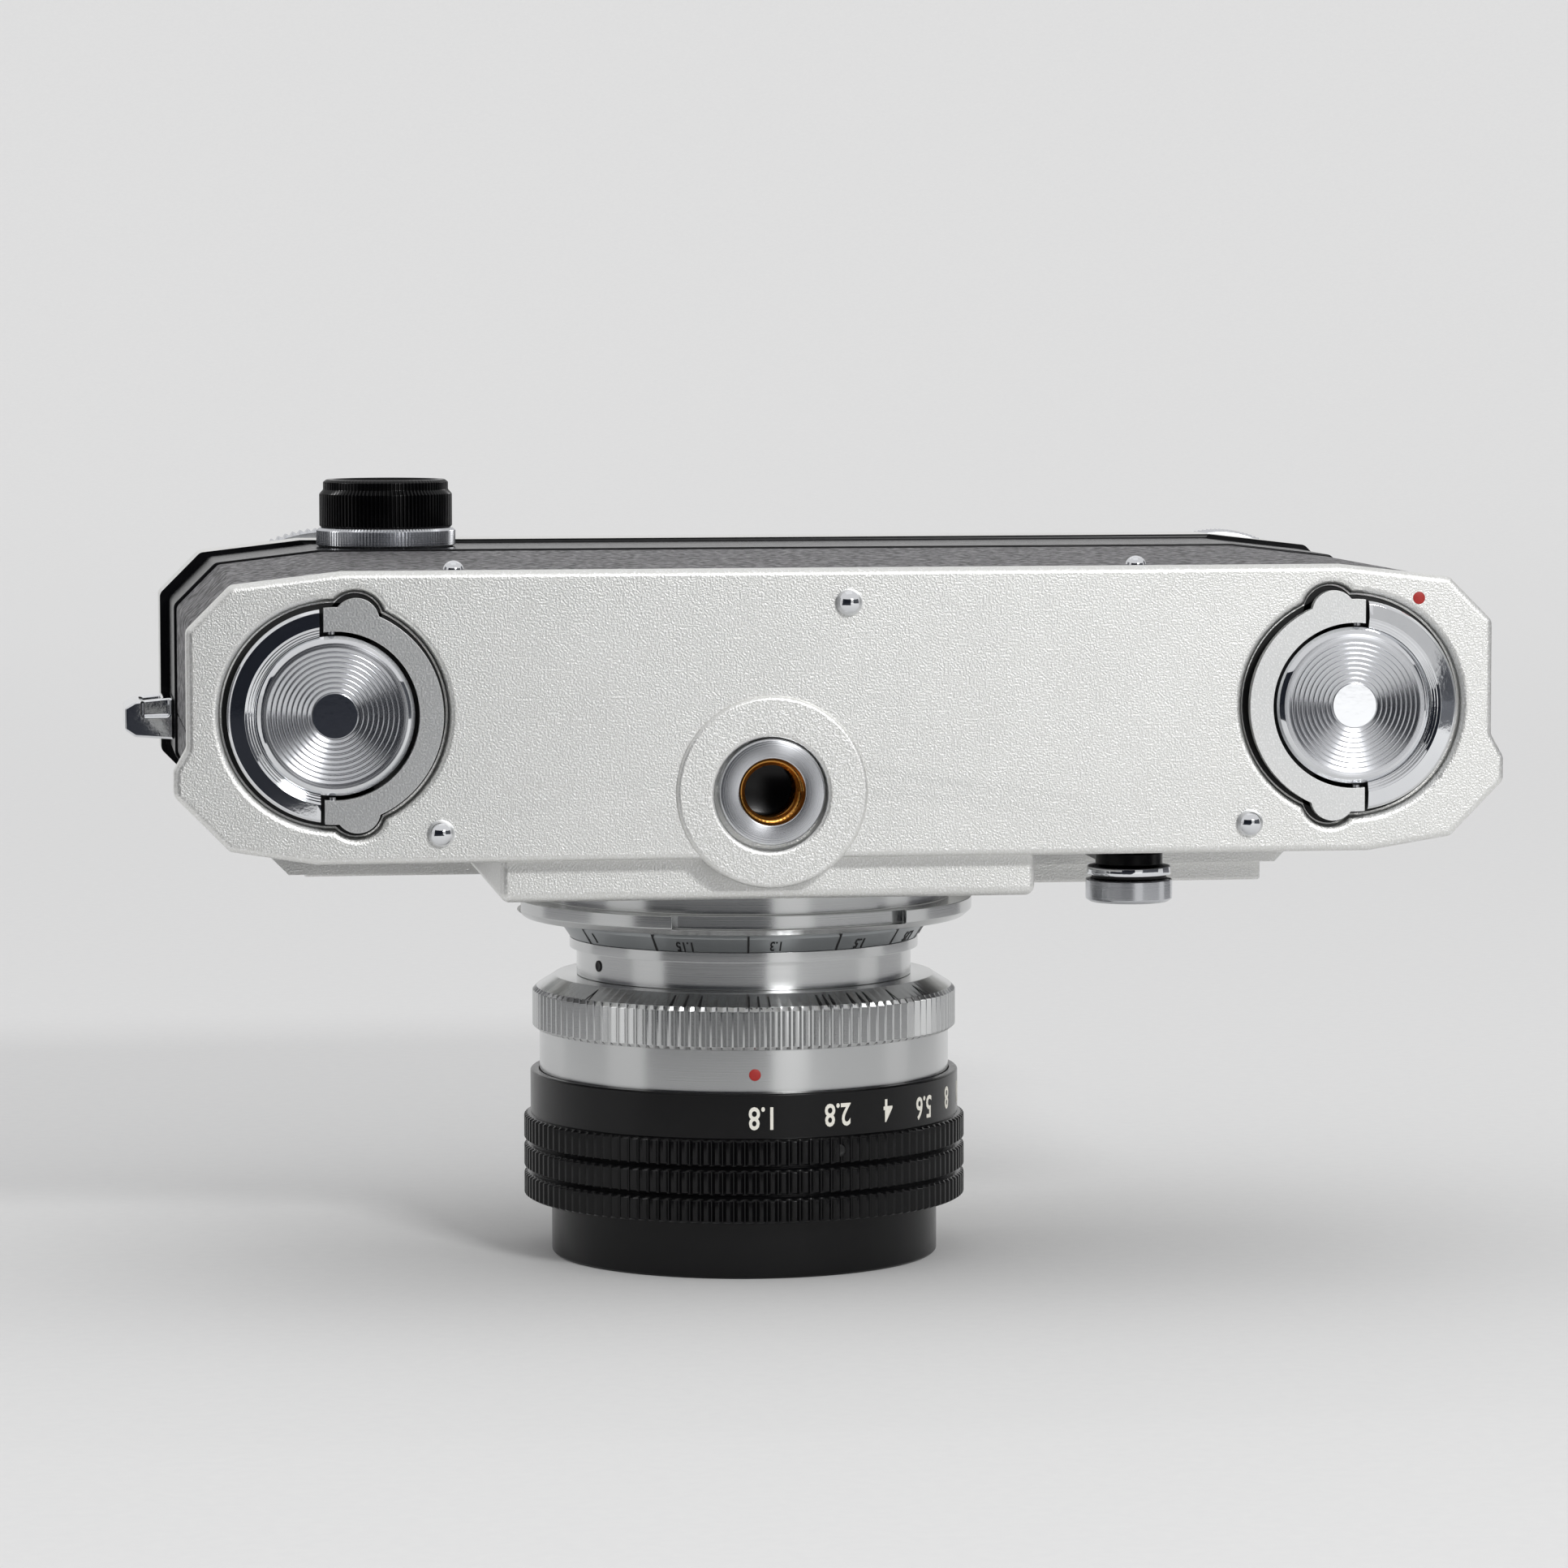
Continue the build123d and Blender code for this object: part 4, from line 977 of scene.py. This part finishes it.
studio = {    # metres and degrees; azimuth 0 is on the base side, 90 on +X
    "flatRadius": 1.5, "curveRadius": 1.0, "paper": ("E4E4E4", "E9E9E8"),
    "keyAzimuth": 20, "keyHeight": 26, "keyDistance": 1.3, "keySize": (0.26, 0.12), "keyPower": 6.0,
    "topPower": 0.5, "topSize": 1.0,
    "backPower": 4.8, "backSize": (2.2, 0.6),
    "cardRadius": 1.15,
    "cards": [(-62, 8, 0.19, 0.62, ("181B22", "262932")),    # azimuths, nearest edge, height and colours
              (29, 78, 0.5, 0.5, ("4A4C52", "5C5E62")), (-125, -88, 0.3, 0.6, ("77777A", "858588")),
              (96, 130, 0.3, 0.6, ("66666A", "747478"))],
    "sky": "F4F4F5", "skyStrength": 0.82,
}


def stageObject(name, mesh, material):
    mesh.materials.append(material)
    thing = bpy.data.objects.new(name, mesh)
    bpy.context.scene.collection.objects.link(thing)
    return thing


def backdrop(name, colours):  # matt paper or cloth
    material, tree, place = newFinish(name)
    closeFinish(tree, {"Base Color": tint(tree, grain(tree, place, 1.5, 3.0), *colours), "Roughness": 0.9,
                       "Specular IOR Level": 0.1})
    return material


def paperBowl():  # a white floor that curves up all round, so that no horizon shows
    mesh = bpy.data.meshes.new("floor")
    work = bmesh.new()
    flat, bend = studio["flatRadius"], studio["curveRadius"]
    profile = [(0, 0), (0.3, 0), (0.8, 0), (flat, 0)]
    profile += [(flat + bend * sin(radians(turn)), bend * (1 - cos(radians(turn))))
                for turn in range(5, 66, 5)]
    points = [work.verts.new((r, 0, z)) for r, z in profile]
    edges = [work.edges.new(pair) for pair in zip(points, points[1:])]
    bmesh.ops.spin(work, geom=points + edges, axis=(0, 0, 1), cent=(0, 0, 0), angle=2 * pi, steps=96,
                   use_merge=True)
    bmesh.ops.remove_doubles(work, verts=work.verts, dist=1e-5)
    bmesh.ops.recalc_face_normals(work, faces=work.faces)
    work.to_mesh(mesh)
    work.free()
    mesh.shade_smooth()
    stageObject("floor", mesh, backdrop("paperSweep", studio["paper"]))


def roomCards():  # the room round the table: only polished metal sees it, it takes no light away
    for number, (first, last, near, height, colours) in enumerate(studio["cards"]):
        mesh = bpy.data.meshes.new("roomCard")
        far = studio["cardRadius"]
        corners = []
        for k in range(17):
            azimuth = first + (last - first) * k / 16
            corners += [onSky(azimuth, 0, r) + Vector((0, 0, z))
                        for r, z in ((near, 0.003), (far, 0.003), (far, height))]
        mesh.from_pydata(corners, [], [(3 * k + i, 3 * k + i + 1, 3 * k + i + 4,
                                        3 * k + i + 3) for k in range(16)
                                       for i in (0, 1)])
        card = stageObject(f"roomCard{number}", mesh, backdrop(f"room{number}", colours))
        card.visible_camera = card.visible_diffuse = card.visible_shadow = False


def onSky(azimuth, height, distance):  # a point round the object
    flat = distance * cos(radians(height))
    return Vector((flat * sin(radians(azimuth)), -flat * cos(radians(azimuth)),
                   distance * sin(radians(height))))


def areaLight(name, place, aim, size, power):
    light = bpy.data.lights.new(name, "AREA")
    light.shape = "RECTANGLE"
    light.size, light.size_y = size
    light.energy = power
    holder = bpy.data.objects.new(name, light)
    holder.location = place
    holder.rotation_euler = (place - aim).to_track_quat("Z", "Y").to_euler()
    holder.visible_camera = False
    bpy.context.scene.collection.objects.link(holder)


def studioLights():
    aim = Vector((0.005, 0, 0.05))
    areaLight("keyLight", onSky(studio["keyAzimuth"], studio["keyHeight"], studio["keyDistance"]) + aim, aim,
              studio["keySize"], studio["keyPower"])
    areaLight("topLight", Vector((0, 0.05, 1.5)), aim, (studio["topSize"], studio["topSize"]),
              studio["topPower"])
    areaLight("backLight", Vector((0.2, 1.3, 1.5)), Vector((0.2, 2.3, 0.1)), studio["backSize"],
              studio["backPower"])
    world = bpy.data.worlds.new("studioSky")
    bpy.context.scene.world = world
    world.use_nodes = True
    world.node_tree.nodes.clear()
    sky = addNode(world.node_tree, "ShaderNodeBackground", {},
                  {"Color": paint(studio["sky"]), "Strength": studio["skyStrength"]})
    addNode(world.node_tree, "ShaderNodeOutputWorld", {}, {"Surface": sky.outputs[0]})


view = {"place": (-79.03, -625.77, 100.60), "yaw": 7.594, "down": 4.575, "roll": -0.092, "lens": 135.78,
        "sensor": 36.0}


def mainCamera():
    camera = bpy.data.cameras.new("camera")
    camera.lens, camera.sensor_width = view["lens"], view["sensor"]
    camera.clip_start, camera.clip_end = 0.01, 50
    holder = bpy.data.objects.new("camera", camera)
    bpy.context.scene.collection.objects.link(holder)
    yaw, down, roll = (radians(view[k]) for k in ("yaw", "down", "roll"))
    forward = Vector((sin(yaw) * cos(down), cos(yaw) * cos(down), -sin(down)))
    right = Vector((cos(yaw), -sin(yaw), 0))
    up = right.cross(forward)
    side, top = right * cos(roll) + up * sin(roll), up * cos(roll) - right * sin(roll)
    turn = Matrix((side, top, -forward)).transposed().to_4x4()
    holder.matrix_world = Matrix.Translation(Vector(view["place"]) * mm) @ turn
    bpy.context.scene.camera = holder


paperBowl()
roomCards()
studioLights()
mainCamera()
bpy.context.scene.view_settings.view_transform = "Standard"
print("studio made")
